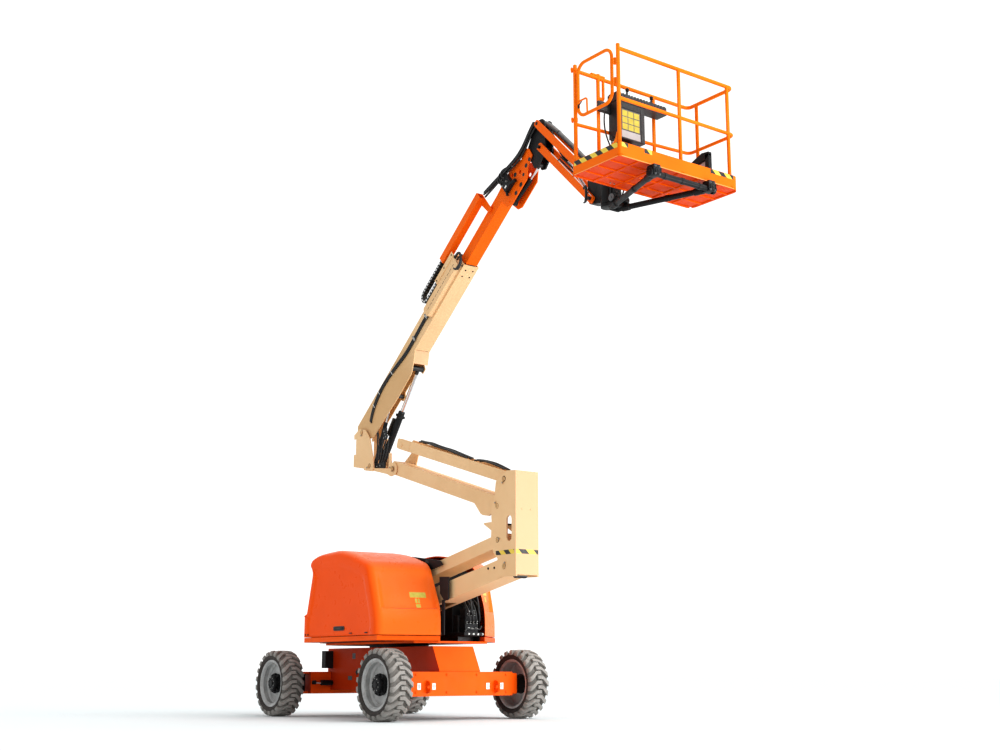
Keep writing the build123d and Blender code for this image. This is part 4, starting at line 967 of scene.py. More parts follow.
# ------------------------------------------------------------------ lines in the tower
bundle("link_line", "upper_link", [(0.480, 0.0, 3.478), (0.620, 0.0, 3.452), (0.760, 0.0, 3.405), (0.900, 0.0, 3.360), (1.060, 0.0, 3.308), (1.220, 0.0, 3.250), (1.400, 0.0, 3.190), (1.540, 0.0, 3.140)], ((-0.045, 0.0), (-0.015, 0.010), (0.020, -0.004), (0.050, 0.004)), 0.0115, HOSE, 12, 0.006)
bundle("link_line_low", "upper_link", [(1.700, 0.0, 3.085), (1.800, 0.0, 3.078), (1.955, 0.0, 3.040), (2.110, 0.0, 2.990), (2.240, 0.0, 2.935), (2.300, 0.0, 2.905)], ((-0.040, 0.0), (0.0, 0.008), (0.040, 0.0)), 0.0115, HOSE, 12, 0.004)

# thin white strip along the lower jib arm, a painted highlight along a line lying there, with small dark ties
bm = bmesh.new()
lp = [(3.300, 6.545), (3.430, 6.415), (3.562, 6.278), (3.700, 6.140), (3.834, 6.002), (3.960, 5.862), (4.010, 5.810)]
for (x0, z0), (x1, z1) in zip(lp, lp[1:]):
    add_prism(bm, [(x0, z0 - 0.005), (x1, z1 - 0.005), (x1, z1 + 0.005), (x0, z0 + 0.005)], -0.1042, -0.0992)
for x, z in lp[1:-1:2]:
    add_prism(bm, [(x - 0.008, z - 0.008), (x + 0.008, z - 0.008), (x + 0.008, z + 0.008), (x - 0.008, z + 0.008)], -0.1046, -0.0992, mat=1)
to_object(bm, "jib_painted_highlight_line", [WHITE, STRIPE_BLACK], "jib_arms", 30)
# dark lines inside the jib, beside its cylinder
JC = cos(radians(-45))
JIB_FOOT = (3.080, 6.690)
for k, b in enumerate((0.030, 0.062, 0.094, 0.126, 0.158, 0.190)):
    pts = []
    for a in (0.40, 0.46, 0.54, 0.64, 0.74, 0.82):
        w = b + 0.008 * sin(7.0 * a + k)
        pts.append((JIB_FOOT[0] + a * JC + w * JC, -0.060, JIB_FOOT[1] - a * JC + w * JC))
    hose("jib_inner_line_%d" % k, pts, 0.0095, HOSE, "jib_arms", 10)
# dark openings along the fly head: black discs, painted shade standing in for the holes' shaded inside
bm = bmesh.new()
for s_, n_, r_ in ((4.545, -0.105, 0.024), (4.632, -0.098, 0.022), (4.342, -0.009, 0.026), (4.330, -0.205, 0.026), (4.205, -0.205, 0.024), (4.440, -0.150, 0.018)):
    p = BM(s_, n_, -0.0848)
    add_lathe(bm, p, (0, -1, 0), [(0.0, r_ + 0.004), (0.0016, r_ + 0.003), (0.0016, r_), (0.0006, r_ - 0.001), (0.0006, 0.0006)], 28, 0, closed=False)
to_object(bm, "fly_head_openings", [STRIPE_BLACK], "fly_boom", 30)
# fittings and short lines on the valve of the fly
bm = bmesh.new()
for s_, n_ in ((4.140, 0.060), (4.180, 0.070), (4.225, 0.055), (4.150, -0.010), (4.235, -0.030)):
    p = BM(s_, n_, -0.150)
    add_cyl(bm, p, p + Vector((0, -0.016, 0)), 0.012, 6)
    add_cyl(bm, p + Vector((0, -0.016, 0)), p + Vector((0, -0.030, 0)), 0.008, 14)
p0, p1 = BM(4.255, -0.085, -0.128), BM(4.330, -0.120, -0.128)
add_cyl(bm, p0, p1, 0.024, 22, 1)
p0, p1 = BM(4.130, -0.085, -0.125), BM(4.110, -0.135, -0.125)
add_cyl(bm, p0, p1, 0.018, 20, 1)
add_prism(bm, [(4.150, -0.060), (4.190, -0.060), (4.190, -0.035), (4.150, -0.035)], -0.1515, -0.1495, bxz, mat=2)
to_object(bm, "valve_fittings", [STEEL, BLACK, WHITE], "fly_boom", 30)
for k, (s_, n_) in enumerate(((4.140, 0.060), (4.180, 0.070), (4.225, 0.055))):
    hose("valve_line_%d" % k, [BM(s_, n_, -0.178), BM(s_ + 0.002, n_ + 0.010, -0.190), BM(s_ + 0.010, n_ + 0.060 + 0.012 * k, -0.186), BM(s_ + 0.050, n_ + 0.090 + 0.010 * k, -0.165), BM(s_ + 0.110, n_ + 0.085, -0.140)], 0.0075, HOSE, "fly_boom", 10)
# closing plate and far cheek of the lift bracket under the boom
bm = bmesh.new()
for (s0, n0), (s1, n1) in (((1.556, -0.066), (1.500, -0.111)), ((1.500, -0.111), (1.418, -0.177))):
    add_prism(bm, [(s0, n0), (s1, n1), (s1 - 0.006, n1 + 0.007), (s0 - 0.006, n0 + 0.007)], -0.1052, 0.1152, bxz)
add_prism(bm, [(1.552, -0.066), (1.418, -0.174), (1.395, -0.150), (1.400, -0.066)], 0.1052, 0.1152, bxz)
to_object(bm, "lift_bracket_front", [TAN], "main_boom", 30)
# outer cheek of the upper jib link, with its pin bosses
bm = bmesh.new()
JL = 1.280


def jxz(a, b):
    return (3.060 + a * JC + b * JC, 6.990 - a * JC + b * JC)


add_prism(bm, [(-0.040, -0.026), (-0.026, -0.040), (0.080, -0.046), (JL - 0.080, -0.046), (JL + 0.026, -0.038), (JL + 0.040, -0.022), (JL + 0.040, 0.022), (JL + 0.026, 0.038), (JL - 0.080, 0.046), (0.080, 0.046), (-0.026, 0.040), (-0.040, 0.026)], -0.1285, -0.1248, jxz)
to_object(bm, "jib_link_cheek", [ORANGE_RED], "jib_links", 30)

# ------------------------------------------------------------------ platform fittings
def tube(bm, pts, r, seg=16, mat=0):
    for a, b in zip(pts, pts[1:]):
        add_cyl(bm, a, b, r, seg, mat)


# rear post cap, knobs on the entrance post, gate handle and hinges
bm = bmesh.new()
add_lathe(bm, (4.630, -0.520, 6.850), (0, 0, 1), [(0.0, 0.0215), (0.060, 0.0215), (0.075, 0.024), (0.085, 0.020), (0.088, 0.0006)], 24, 0, closed=False)
add_lathe(bm, (4.630, -0.446, 6.660), (0, 0, 1), [(0.0, 0.0006), (0.004, 0.016), (0.215, 0.016), (0.225, 0.018)], 20, 0, closed=False)
add_prism(bm, [(4.6235, 6.640), (4.6365, 6.640), (4.6365, 6.676), (4.6235, 6.676)], -0.520, -0.440)
add_prism(bm, [(4.612, 6.905), (4.648, 6.905), (4.648, 6.925), (4.612, 6.925)], -0.625, -0.430)
to_object(bm, "rail_post_inner", [ORANGE_PLAT], "platform", 40, bevel=0.002)
bm = bmesh.new()
hp = [(4.690, -0.845, 6.500), (4.700, -0.845, 6.515), (4.800, -0.845, 6.515), (4.818, -0.845, 6.500), (4.824, -0.845, 6.350)]
tube(bm, hp, 0.0100)
to_object(bm, "gate_handle", [ORANGE_PLAT], "platform_gate", 40, bevel=0.0015)
bm = bmesh.new()
for z in (6.900, 6.325):
    add_lathe(bm, (4.630, -0.845, z), (-0.8, -0.6, 0), [(0.010, 0.0190), (0.026, 0.0190), (0.030, 0.030), (0.040, 0.030), (0.044, 0.024), (0.044, 0.0006)], 24, 0, closed=False)
    add_lathe(bm, (4.630, -0.845, z), (0, 0, 1), [(-0.022, 0.0205), (-0.020, 0.0250), (0.020, 0.0250), (0.022, 0.0205)], 24, 0)
to_object(bm, "post_knobs", [ORANGE_PLAT], "platform", 40)
bm = bmesh.new()
add_prism(bm, [(4.694, 6.425), (4.716, 6.425), (4.716, 6.468), (4.694, 6.468)], -0.868, -0.858)
add_cyl(bm, (4.700, -0.868, 6.446), (4.765, -0.872, 6.482), 0.006, 12)
to_object(bm, "gate_latch", [BLACK], "platform_gate", 40, bevel=0.001)
bm = bmesh.new()
for z in (6.760, 6.540):
    add_cyl(bm, (5.271, -0.845, z - 0.036), (5.271, -0.845, z + 0.036), 0.0150, 20)
    add_prism(bm, [(5.271, z - 0.028), (5.303, z - 0.028), (5.303, z + 0.028), (5.271, z + 0.028)], -0.852, -0.842)
to_object(bm, "gate_hinges", [ORANGE_PLAT], "platform", 40, bevel=0.001)
bm = bmesh.new()
for x, y, z in ((5.320, -0.845, 6.931), (4.630, -0.845, 6.948)):
    add_lathe(bm, (x, y, z), (0, 0, 1), [(-0.006, 0.0212), (0.002, 0.0212), (0.006, 0.017), (0.008, 0.0006)], 24, 0, closed=False)
for x, y in ((5.320, -0.845), (4.630, -0.845), (5.320, 0.020), (5.320, 0.758), (4.630, -0.520), (4.630, 0.300)):
    add_lathe(bm, (x, y, 5.712), (0, 0, 1), [(0.0, 0.040), (0.006, 0.040), (0.008, 0.027), (0.014, 0.0212)], 28, 0, closed=False)
to_object(bm, "rail_caps", [ORANGE_PLAT], "platform", 40)

# operator's console: blank plates, bezel, ribbed cover, levers
bm = bmesh.new()
add_box(bm, (4.8025, -0.340, 6.290), (4.8042, -0.070, 6.530), 0)
for k in range(3):
    for j in range(3):
        add_box(bm, (4.8040, -0.330 + k * 0.086, 6.300 + j * 0.076), (4.8046, -0.330 + k * 0.086 + 0.076, 6.300 + j * 0.076 + 0.066), 2)
add_box(bm, (4.8025, -0.340, 6.205), (4.8042, -0.070, 6.286), 1)
to_object(bm, "console_plates", [GREY, GREY_PLATE, YELLOW_LABEL], "platform", 20)
bm = bmesh.new()
for lo, hi in (((4.800, -0.392, 6.192), (4.8065, -0.350, 6.608)), ((4.800, -0.060, 6.192), (4.8065, -0.008, 6.608)), ((4.800, -0.350, 6.540), (4.8065, -0.060, 6.608))):
    add_box(bm, lo, hi)
to_object(bm, "console_bezel", [PLASTIC], "platform", 20, bevel=0.003)
bm = bmesh.new()
for k in range(17):
    y = -0.400 + k * 0.0435
    add_prism(bm, [(4.660, 6.698), (4.806, 6.698), (4.800, 6.716), (4.666, 6.716)], y, y + 0.024)
for k in range(15):
    y = -0.395 + k * 0.0490
    add_prism(bm, [(4.8095, 6.618), (4.8135, 6.622), (4.8135, 6.688), (4.8095, 6.692)], y, y + 0.028)
to_object(bm, "console_ribs", [PLASTIC], "platform", 20, bevel=0.002)
bm = bmesh.new()
for y in (-0.20, 0.16):
    add_lathe(bm, (4.735, y, 6.700), (0.15, 0, 1), [(0.0, 0.030), (0.012, 0.030), (0.030, 0.014), (0.075, 0.010), (0.082, 0.019), (0.105, 0.021), (0.116, 0.014), (0.118, 0.0006)], 20, 0, closed=False)
add_lathe(bm, (4.735, 0.020, 6.700), (0, 0, 1), [(0.0, 0.024), (0.014, 0.024), (0.016, 0.030), (0.028, 0.030), (0.032, 0.022), (0.033, 0.0006)], 24, 1, closed=False)
to_object(bm, "console_levers", [BLACK, RED], "platform", 40)
bm = bmesh.new()
add_box(bm, (4.668, -0.575, 6.480), (4.698, -0.400, 6.600))
add_box(bm, (4.664, -0.560, 6.490), (4.705, -0.440, 6.585))
to_object(bm, "console_side_box", [PLASTIC], "platform", 20, bevel=0.006)
for k, pts in enumerate(([(4.690, -0.480, 6.500), (4.690, -0.500, 6.380), (4.680, -0.470, 6.250), (4.690, -0.420, 6.120), (4.690, -0.330, 6.000), (4.690, -0.280, 5.880), (4.690, -0.260, 5.715)],
                         [(4.710, -0.390, 6.230), (4.720, -0.420, 6.170), (4.715, -0.400, 6.060), (4.705, -0.340, 5.960), (4.705, -0.320, 5.840), (4.705, -0.310, 5.715)])):
    hose("console_cable_%d" % k, pts, 0.0085, HOSE, "platform", 12)

# gussets at the feet of the posts
bm = bmesh.new()
for x, sg in ((4.648, 1), (5.302, -1)):
    q = [(x, 5.800), (x + sg * 0.100, 5.800), (x + sg * 0.095, 5.850), (x + sg * 0.050, 5.872), (x + sg * 0.022, 5.905), (x + sg * 0.004, 5.965), (x, 5.965)]
    add_prism(bm, q, -0.866, -0.858)
to_object(bm, "rail_gussets", [ORANGE_PLAT], "platform", 20, bevel=0.001)

# painted highlight: a light strip along the lower edge of the floor frame, standing in for the light caught by its lip
bm = bmesh.new()
for y, o in ((-0.875, -0.0012), (0.875, 0.0012)):
    add_box(bm, (4.700 if y > 0 else 4.632, min(y, y + o), 5.692), (5.250 if y > 0 else 5.320, max(y, y + o), 5.699))
for x, o in ((4.600, -0.0012), (5.350, 0.0012)):
    add_box(bm, (min(x, x + o), -0.845, 5.692), (max(x, x + o), 0.780, 5.699))
to_object(bm, "floor_edge_line", [ORANGE_PAINTED_HIGHLIGHT], "platform", 20)

# dark bracket at the far end of the platform
bm = bmesh.new()
for lo, hi in (((5.000, 0.712, 5.716), (5.055, 0.765, 6.185)), ((4.700, 0.712, 5.716), (4.755, 0.765, 6.120))):
    add_box(bm, lo, hi)
add_prism(bm, [(4.700, 6.120), (4.755, 6.075), (5.010, 6.120), (5.055, 6.160), (5.055, 6.205), (4.950, 6.215)], 0.712, 0.765)
add_prism(bm, [(4.750, 5.990), (5.005, 5.990), (5.005, 6.120), (4.750, 6.080)], 0.732, 0.742, mat=1)
add_prism(bm, [(4.700, 5.880), (5.055, 5.880), (5.055, 5.920), (4.700, 5.920)], 0.716, 0.761)
to_object(bm, "far_bracket", [BLACK, GREY_PLATE], "platform", 30, bevel=0.004)

# bolts of the support clamps and of the rotator
bm = bmesh.new()
for y in (-0.40, 0.40):
    for dy in (-0.028, 0.028):
        add_bolt(bm, (4.70, y + dy, 5.6895), (0, 0, -1), 0.007, 0.006)
for i in range(8):
    g = 2 * pi * i / 8
    add_bolt(bm, (4.180 + 0.062 * cos(g), 0.062 * sin(g), 5.700), (0, 0, 1), 0.006, 0.005)
to_object(bm, "support_bolts", [STEEL], "platform", 30)

# ------------------------------------------------------------------ chassis fittings
bm = bmesh.new()
for y in (-0.50, 0.50):
    for dy in (-0.115, 0.095):
        add_box(bm, (1.4005, y + dy - 0.024, 0.360), (1.4016, y + dy + 0.024, 0.435), 0)
        add_box(bm, (1.4015, y + dy - 0.015, 0.372), (1.4019, y + dy + 0.015, 0.424), 1)
to_object(bm, "axle_decals", [WHITE, GREY_PLATE], "root", 20)
bm = bmesh.new()
for y in (-0.66, -0.22, 0.22, 0.66):
    add_bolt(bm, (1.400, y, 0.330), (1, 0, 0), 0.012, 0.008)
    add_bolt(bm, (1.400, y, 0.535), (1, 0, 0), 0.012, 0.008)
to_object(bm, "axle_bolts", [ORANGE], "root", 30)
bm = bmesh.new()
for sg in (-1, 1):
    y0, y1 = sorted((sg * 0.7605, sg * 0.832))
    add_prism(bm, [(1.150, 0.300), (1.385, 0.300), (1.398, 0.315), (1.398, 0.535), (1.385, 0.552), (1.150, 0.552), (1.135, 0.535), (1.135, 0.315)], y0, y1)
    for dx in (-0.075, 0.075):
        for dz in (-0.085, 0.085):
            add_bolt(bm, (1.266 + dx, sg * 0.832, 0.426 + dz), (0, sg, 0), 0.009, 0.004)
to_object(bm, "axle_ends", [ORANGE], "root", 30, bevel=0.006, segments=3)
bm = bmesh.new()
for i in range(24):
    g = 2 * pi * i / 24
    add_bolt(bm, (0.245 * cos(g), 0.245 * sin(g), 0.9305), (0, 0, 1), 0.010, 0.008)
to_object(bm, "swing_bolts", [STEEL], "turntable", 30)

# ------------------------------------------------------------------ turntable slot: guards, pump set, manifold, lines
bm = bmesh.new()
add_prism(bm, [(0.240, 1.955), (0.290, 1.992), (0.330, 1.990), (0.560, 1.985), (1.000, 1.925), (1.200, 1.893), (1.240, 1.840), (1.000, 1.800), (0.600, 1.880)], -0.188, -0.174)
to_object(bm, "slot_guard_top", [BLACK], "turntable", 25, bevel=0.003)
bm = bmesh.new()
for k in range(4):
    x = 0.860 + k * 0.020
    add_prism(bm, [(x, 1.925 - k * 0.004), (x + 0.010, 1.923 - k * 0.004), (x + 0.018, 1.890 - k * 0.004), (x + 0.008, 1.892 - k * 0.004)], -0.1898, -0.1875)
to_object(bm, "slot_guard_louvres", [GREY], "turntable", 25)
bm = bmesh.new()
add_prism(bm, [(1.185, 1.700), (1.385, 1.690), (1.385, 1.420), (1.290, 1.405), (1.200, 1.500)], -0.196, -0.180)
add_prism(bm, [(1.240, 1.420), (1.300, 1.420), (1.300, 1.000), (1.240, 1.000)], -0.196, -0.184)
to_object(bm, "slot_guard_side", [DARK], "turntable", 25, bevel=0.003)
# manifold, motor, filter and cable boxes on the far half of the deck
bm = bmesh.new()
add_box(bm, (0.960, 0.240, 0.992), (1.120, 0.440, 1.200))
add_box(bm, (0.985, 0.260, 1.200), (1.100, 0.420, 1.330))
for k in range(3):
    add_cyl(bm, (1.040, 0.290 + k * 0.055, 1.330), (1.040, 0.290 + k * 0.055, 1.440), 0.019, 20)
    add_cyl(bm, (1.040, 0.290 + k * 0.055, 1.360), (1.040, 0.290 + k * 0.055, 1.372), 0.024, 6)
add_cyl(bm, (0.780, 0.330, 1.480), (1.060, 0.330, 1.480), 0.070, 28)
add_cyl(bm, (1.060, 0.330, 1.480), (1.085, 0.330, 1.480), 0.050, 28)
add_box(bm, (0.700, 0.200, 0.992), (0.900, 0.440, 1.380))
for y0, y1 in ((-0.190, -0.158), (0.162, 0.455)):
    add_prism(bm, [(0.640, 1.000), (1.215, 1.000), (1.215, 1.040), (0.640, 1.040)], y0, y1)
to_object(bm, "slot_pump_set", [DARK], "turntable", 30, bevel=0.004)
bm = bmesh.new()
for y, z, r in ((0.265, 1.160, 0.011), (0.315, 1.165, 0.013), (0.365, 1.160, 0.011), (0.415, 1.165, 0.013), (0.285, 1.090, 0.012), (0.340, 1.085, 0.010), (0.400, 1.090, 0.012), (0.290, 1.260, 0.012), (0.345, 1.262, 0.012), (0.398, 1.260, 0.012), (0.300, 1.300, 0.008), (0.380, 1.302, 0.008)):
    x = 1.120 if z < 1.2 else 1.100
    add_cyl(bm, (x, y, z), (x + 0.014, y, z), r * 1.25, 6)
    add_cyl(bm, (x + 0.014, y, z), (x + 0.034, y, z), r * 0.8, 16)
for y in (0.270, 0.340, 0.410, 0.480):
    add_bolt(bm, (1.2155, y - 0.04, 1.020), (1, 0, 0), 0.008, 0.005)
to_object(bm, "slot_fittings", [STEEL], "turntable", 30)
for k, (y0, z0) in enumerate(((0.265, 1.160), (0.315, 1.165), (0.365, 1.160), (0.415, 1.165), (0.290, 1.260), (0.398, 1.260))):
    hose("slot_hose_%d" % k, [(1.150, y0, z0), (1.185, y0, z0), (1.205, y0 - 0.01, z0 + 0.035 + 0.010 * k), (1.190, y0 - 0.02, z0 + 0.130 + 0.015 * k), (1.140, y0 - 0.03, z0 + 0.230 + 0.010 * k), (1.050, y0 - 0.03, z0 + 0.290), (0.930, y0 - 0.03, z0 + 0.320)], 0.0105, HOSE, "turntable", 12)
hose("slot_cable_a", [(1.205, 0.176, 1.050), (1.208, 0.215, 1.105), (1.208, 0.280, 1.055), (1.208, 0.345, 1.100), (1.208, 0.410, 1.060), (1.190, 0.438, 1.120)], 0.0095, HOSE, "turntable", 12)

# ------------------------------------------------------------------ upper upright: hose bundle, valve block and hard lines by the cylinders
def to_body(x0, z0, x1, z1):
    d = Vector((x1 - x0, 0, z1 - z0))
    L = d.length
    d.normalize()
    return lambda t, w: (x0 + d.x * t - d.z * w, z0 + d.z * t + d.x * w), L


LC, LCL = to_body(-0.580, 3.280, 0.312, 4.488)
bm = bmesh.new()
add_prism(bm, [(0.450, 0.048), (0.700, 0.048), (0.700, 0.105), (0.450, 0.105)], 0.010, 0.075, LC)
add_prism(bm, [(0.120, 0.046), (0.230, 0.046), (0.230, 0.085), (0.120, 0.085)], 0.010, 0.070, LC)
add_prism(bm, [(0.770, -0.050), (0.800, -0.050), (0.800, 0.050), (0.770, 0.050)], -0.012, 0.082, LC)
to_object(bm, "lift_cylinder_valve", [BLACK], "lift_cylinder", 30, bevel=0.003)
for k in range(2):
    hose("lift_hard_line_%d" % k, [(LC(t, 0.056 + 0.016 * k)[0], -0.004 - 0.014 * k, LC(t, 0.056 + 0.016 * k)[1]) for t in (0.08, 0.15, 0.30, 0.45, 0.60, 0.72)], 0.0065, STEEL if k else HOSE, "lift_cylinder", 8)
EV, EVL = to_body(-0.580, 3.280, -0.159, 4.195)
UH = [[(-0.520, -0.0962, 3.300), (-0.480, -0.0962, 3.420), (-0.460, -0.0962, 3.560), (-0.470, -0.0962, 3.680), (-0.500, -0.0962, 3.760)],
      [(-0.470, -0.0962, 3.290), (-0.430, -0.0962, 3.430), (-0.420, -0.0962, 3.580), (-0.440, -0.0962, 3.700), (-0.490, -0.0962, 3.790)],
      [(-0.420, -0.0962, 3.290), (-0.370, -0.0962, 3.420), (-0.350, -0.0962, 3.520), (-0.320, -0.0962, 3.620), (-0.300, -0.0962, 3.700)],
      [(-0.370, -0.0962, 3.280), (-0.310, -0.0962, 3.400), (-0.290, -0.0962, 3.480), (-0.250, -0.0962, 3.580), (-0.235, -0.0962, 3.660)],
      [(-0.330, -0.0962, 3.270), (-0.260, -0.0962, 3.360), (-0.220, -0.0962, 3.440), (-0.200, -0.0962, 3.520), (-0.190, -0.0962, 3.600)]]
for k, pts in enumerate(UH):
    hose("upright_hose_%d" % k, pts, 0.0082, HOSE, "upper_upright", 12)
bm = bmesh.new()
add_box(bm, (-0.560, -0.118, 3.215), (-0.240, -0.098, 3.300))
add_box(bm, (-0.330, -0.099, 3.600), (-0.235, -0.089, 3.760))
to_object(bm, "upright_valves", [BLACK], "upper_upright", 30, bevel=0.004)
bm = bmesh.new()
for x, z in ((-0.305, 3.630), (-0.275, 3.680), (-0.260, 3.640), (-0.300, 3.720)):
    add_cyl(bm, (x, -0.098, z), (x, -0.1042, z), 0.010, 6)
for x, z in ((-0.500, 3.255), (-0.420, 3.255), (-0.340, 3.255)):
    add_cyl(bm, (x, -0.118, z), (x, -0.131, z), 0.009, 6)
to_object(bm, "upright_fittings", [STEEL], "upper_upright", 30)

# cheek at the rear end of the upper link
def UL(t, w):
    x0, z0, x1, z1 = 2.455, 2.767, 0.136, 3.476
    d = Vector((x1 - x0, 0, z1 - z0))
    L = d.length
    d.normalize()
    return (x1 + d.x * t + d.z * w, z1 + d.z * t - d.x * w)


bm = bmesh.new()
add_prism(bm, [(-0.20, -0.058), (0.080, -0.058), (0.110, -0.040), (0.110, 0.058), (0.090, 0.076), (-0.20, 0.076)], -0.1015, -0.0995, UL)
to_object(bm, "link_cheek", [TAN], "upper_link", 30, bevel=0.002)

# bumper under the lower upright, small bolts, wedge plate light edge
bm = bmesh.new()
add_box(bm, (2.600, -0.145, 1.622), (2.668, 0.015, 1.640))
for k in range(6):
    add_prism(bm, [(2.606, 1.612), (2.662, 1.612), (2.666, 1.623), (2.602, 1.623)], -0.140 + k * 0.026, -0.140 + k * 0.026 + 0.017)
to_object(bm, "upright_bumper", [PLASTIC], "lower_upright", 30, bevel=0.005)
bm = bmesh.new()
for x, z in ((2.116, 1.748), (2.236, 1.749)):
    add_bolt(bm, (x, -0.1402, z), (0, -1, 0), 0.010, 0.006)
    add_bolt(bm, (x, 0.1402, z), (0, 1, 0), 0.010, 0.006)
to_object(bm, "lower_boom_bolts", [DARK], "lower_boom", 30)
bm = bmesh.new()
for y, z in ((-0.075, 2.400), (0.050, 2.400)):
    add_bolt(bm, (2.6802, y, z), (1, 0, 0), 0.005, 0.003)
to_object(bm, "upright_studs", [TAN], "lower_upright", 30)

# ------------------------------------------------------------------ platform support: clamps, end discs and the turning drive
bm = bmesh.new()
for sy in (-1, 1):
    y = sy * 0.400
    add_prism(bm, [(5.296, 5.600), (5.296, 5.660), (5.310, 5.676), (5.390, 5.676), (5.404, 5.660), (5.404, 5.600)], y - 0.056, y - 0.046)
    add_prism(bm, [(5.296, 5.600), (5.296, 5.660), (5.310, 5.676), (5.390, 5.676), (5.404, 5.660), (5.404, 5.600)], y + 0.046, y + 0.056)
    add_lathe(bm, (5.400, y, 5.622), (1, 0, 0), [(0.0, 0.040), (0.005, 0.040), (0.010, 0.034), (0.010, 0.018), (0.016, 0.016), (0.018, 0.0006)], 28, 0, closed=False)
    add_lathe(bm, (5.350, y + sy * 0.045, 5.607), (0, sy, 0), [(0.0, 0.046), (0.026, 0.046), (0.032, 0.040), (0.034, 0.022), (0.040, 0.020), (0.041, 0.0006)], 28, 0, closed=False)
    for dz in (5.585, 5.662):
        for dy in (-0.030, 0.030):
            add_bolt(bm, (5.400, y + dy, dz), (1, 0, 0), 0.009, 0.008, True, 1)
to_object(bm, "support_clamps", [BLACK, GREY], "platform", 30, bevel=0.002)
bm = bmesh.new()
for sy in (-1, 1):
    f0, f1 = Vector((4.288, sy * 0.050, 5.607)), Vector((5.350, sy * 0.400, 5.607))
    d = (f1 - f0).normalized()
    for t, w, r in ((0.10, 0.050, 0.040), (0.62, 0.030, 0.0365), (1.00, 0.060, 0.040)):
        add_lathe(bm, f0 + d * t, d, [(-w, 0.0325), (-w + 0.006, r), (w - 0.006, r), (w, 0.0325)], 28, 0)
for y in (-0.250, 0.0, 0.250):
    add_lathe(bm, (5.350, y, 5.607), (0, 1, 0), [(-0.022, 0.0325), (-0.018, 0.0365), (0.018, 0.0365), (0.022, 0.0325)], 28, 0)
to_object(bm, "support_collars", [BLACK], "platform", 40)
bm = bmesh.new()
add_cyl(bm, (4.360, -0.110, 5.690), (4.360, 0.110, 5.690), 0.050, 32)
add_cyl(bm, (4.360, -0.122, 5.690), (4.360, -0.110, 5.690), 0.042, 32, 1)
add_cyl(bm, (4.360, 0.110, 5.690), (4.360, 0.122, 5.690), 0.042, 32, 1)
add_cyl(bm, (4.360, -0.130, 5.690), (4.360, -0.122, 5.690), 0.016, 6, 1)
add_box(bm, (4.300, -0.060, 5.600), (4.380, 0.060, 5.660))
add_box(bm, (4.300, -0.050, 5.740), (4.345, 0.050, 5.860))
for z in (5.770, 5.830):
    add_cyl(bm, (4.345, -0.020, z), (4.368, -0.020, z), 0.012, 6, 1)
    add_cyl(bm, (4.345, 0.025, z), (4.368, 0.025, z), 0.012, 6, 1)
to_object(bm, "turning_drive", [BLACK, GREY], "platform", 30, bevel=0.002)
for k, (y0, z0) in enumerate(((-0.020, 5.830), (-0.020, 5.770), (0.025, 5.830))):
    hose("turning_line_%d" % k, [(4.368, y0, z0), (4.400, y0, z0 + 0.004), (4.440, y0 - 0.020, z0 - 0.040), (4.450, y0 - 0.045, z0 - 0.110), (4.420, y0 - 0.060, z0 - 0.150), (4.380, y0 - 0.060, 5.640)], 0.0085, HOSE, "platform", 10)

# ------------------------------------------------------------------ chassis: steering cylinder before the rear axle, blank plates on the side
bm = bmesh.new()
for sy in (-1, 1):
    add_cyl(bm, (-1.160, sy * 0.470, 0.425), (-1.160, sy * 0.565, 0.430), 0.016, 20, 1)
    add_lathe(bm, (-1.160, sy * 0.560, 0.430), (0, sy, 0), [(-0.004, 0.026), (0.020, 0.028), (0.034, 0.022), (0.036, 0.0006)], 24, 0, closed=False)
    add_prism(bm, [(-1.2092, 0.405), (-1.150, 0.405), (-1.138, 0.425), (-1.150, 0.448), (-1.2092, 0.448)], sy * 0.575 - 0.010, sy * 0.575 + 0.010)
for y0, y1 in ((-0.470, -0.308), (0.308, 0.470)):
    add_cyl(bm, (-1.160, y0, 0.425), (-1.160, y1, 0.425), 0.034, 26, 0)
to_object(bm, "steer_cylinder", [BLACK, CHROME], "root", 30, bevel=0.001)
bm = bmesh.new()
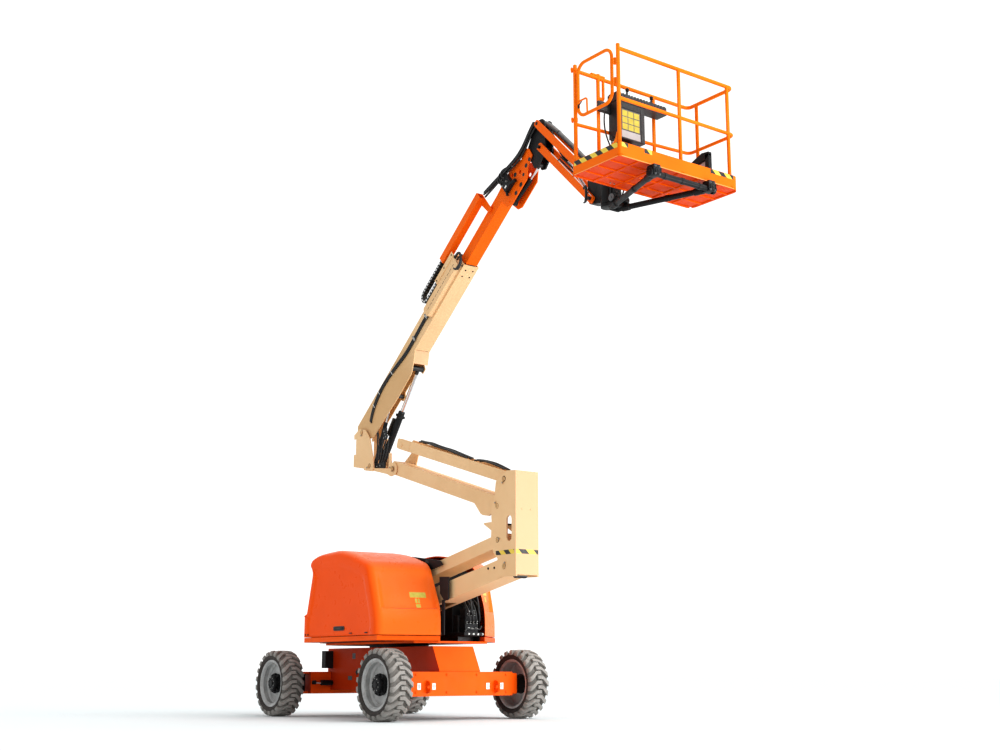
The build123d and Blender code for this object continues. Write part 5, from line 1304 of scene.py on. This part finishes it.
for x, z, w, h, k in ((-0.618, 0.767, 0.080, 0.070, 0), (-0.706, 0.487, 0.105, 0.052, 1), (-0.534, 0.563, 0.052, 0.052, 2)):
    q = [(x - w / 2, z - h / 2), (x + w / 2, z - h / 2), (x + w / 2, z + h / 2), (x - w / 2, z + h / 2)] if k != 2 else [(x - 0.040, z), (x, z - 0.046), (x + 0.040, z), (x, z + 0.046)]
    for sy in (-1, 1):
        add_prism(bm, q, min(sy * 0.3000, sy * (0.3000 + 0.0016)), max(sy * 0.3000, sy * (0.3000 + 0.0016)), mat=0 if k < 2 else 1)
to_object(bm, "chassis_plates", [GREY, STRIPE_BLACK], "root", 30)

# ------------------------------------------------------------------ stage
bm = bmesh.new()
bmesh.ops.create_grid(bm, x_segments=1, y_segments=1, size=90.0)
me = bpy.data.meshes.new("floor")
bm.to_mesh(me)
bm.free()
floor = bpy.data.objects.new("floor", me)
scene.collection.objects.link(floor)
fm, fnt, fb = new_mat("floor_pale")
fb.inputs["Base Color"].default_value = (0.702, 0.743, 0.751, 1)
fb.inputs["Roughness"].default_value = 1.0
fb.inputs["Specular IOR Level"].default_value = 0.0
me.materials.append(fm)
floor.location.z = -0.0005

world = bpy.data.worlds.new("studio")
scene.world = world
world.use_nodes = True
wnt = world.node_tree
bg = wnt.nodes["Background"]
tcw = node(wnt, "ShaderNodeTexCoord").outputs["Generated"]
dot = node(wnt, "ShaderNodeVectorMath", operation="DOT_PRODUCT")
dot.inputs[1].default_value = (-0.8, 0.6, 0.0)
link(wnt, tcw, dot.inputs[0])
level = maprange(wnt, dot.outputs["Value"], 0.15, 0.60, 0.66, 1.02)
bg.inputs["Color"].default_value = (1.0, 1.0, 1.0, 1)
link(wnt, level, bg.inputs["Strength"])

sun_data = bpy.data.lights.new("key", "SUN")
sun_data.energy = 2.25
sun_data.angle = radians(46)
sun = bpy.data.objects.new("key", sun_data)
scene.collection.objects.link(sun)
sun.rotation_mode = "QUATERNION"
sun.rotation_quaternion = Vector((-0.75, -0.25, -0.60)).to_track_quat("-Z", "Y")

low_data = bpy.data.lights.new("front_low", "AREA")
low_data.shape = "RECTANGLE"
low_data.size, low_data.size_y = 7.0, 3.0
low_data.energy = 460.0
low = bpy.data.objects.new("front_low", low_data)
scene.collection.objects.link(low)
low.location = (11.6, 6.4, 1.7)
low.rotation_mode = "QUATERNION"
low.rotation_quaternion = (Vector((1.6, 0.0, 4.4)) - Vector(low.location)).to_track_quat("-Z", "Y")
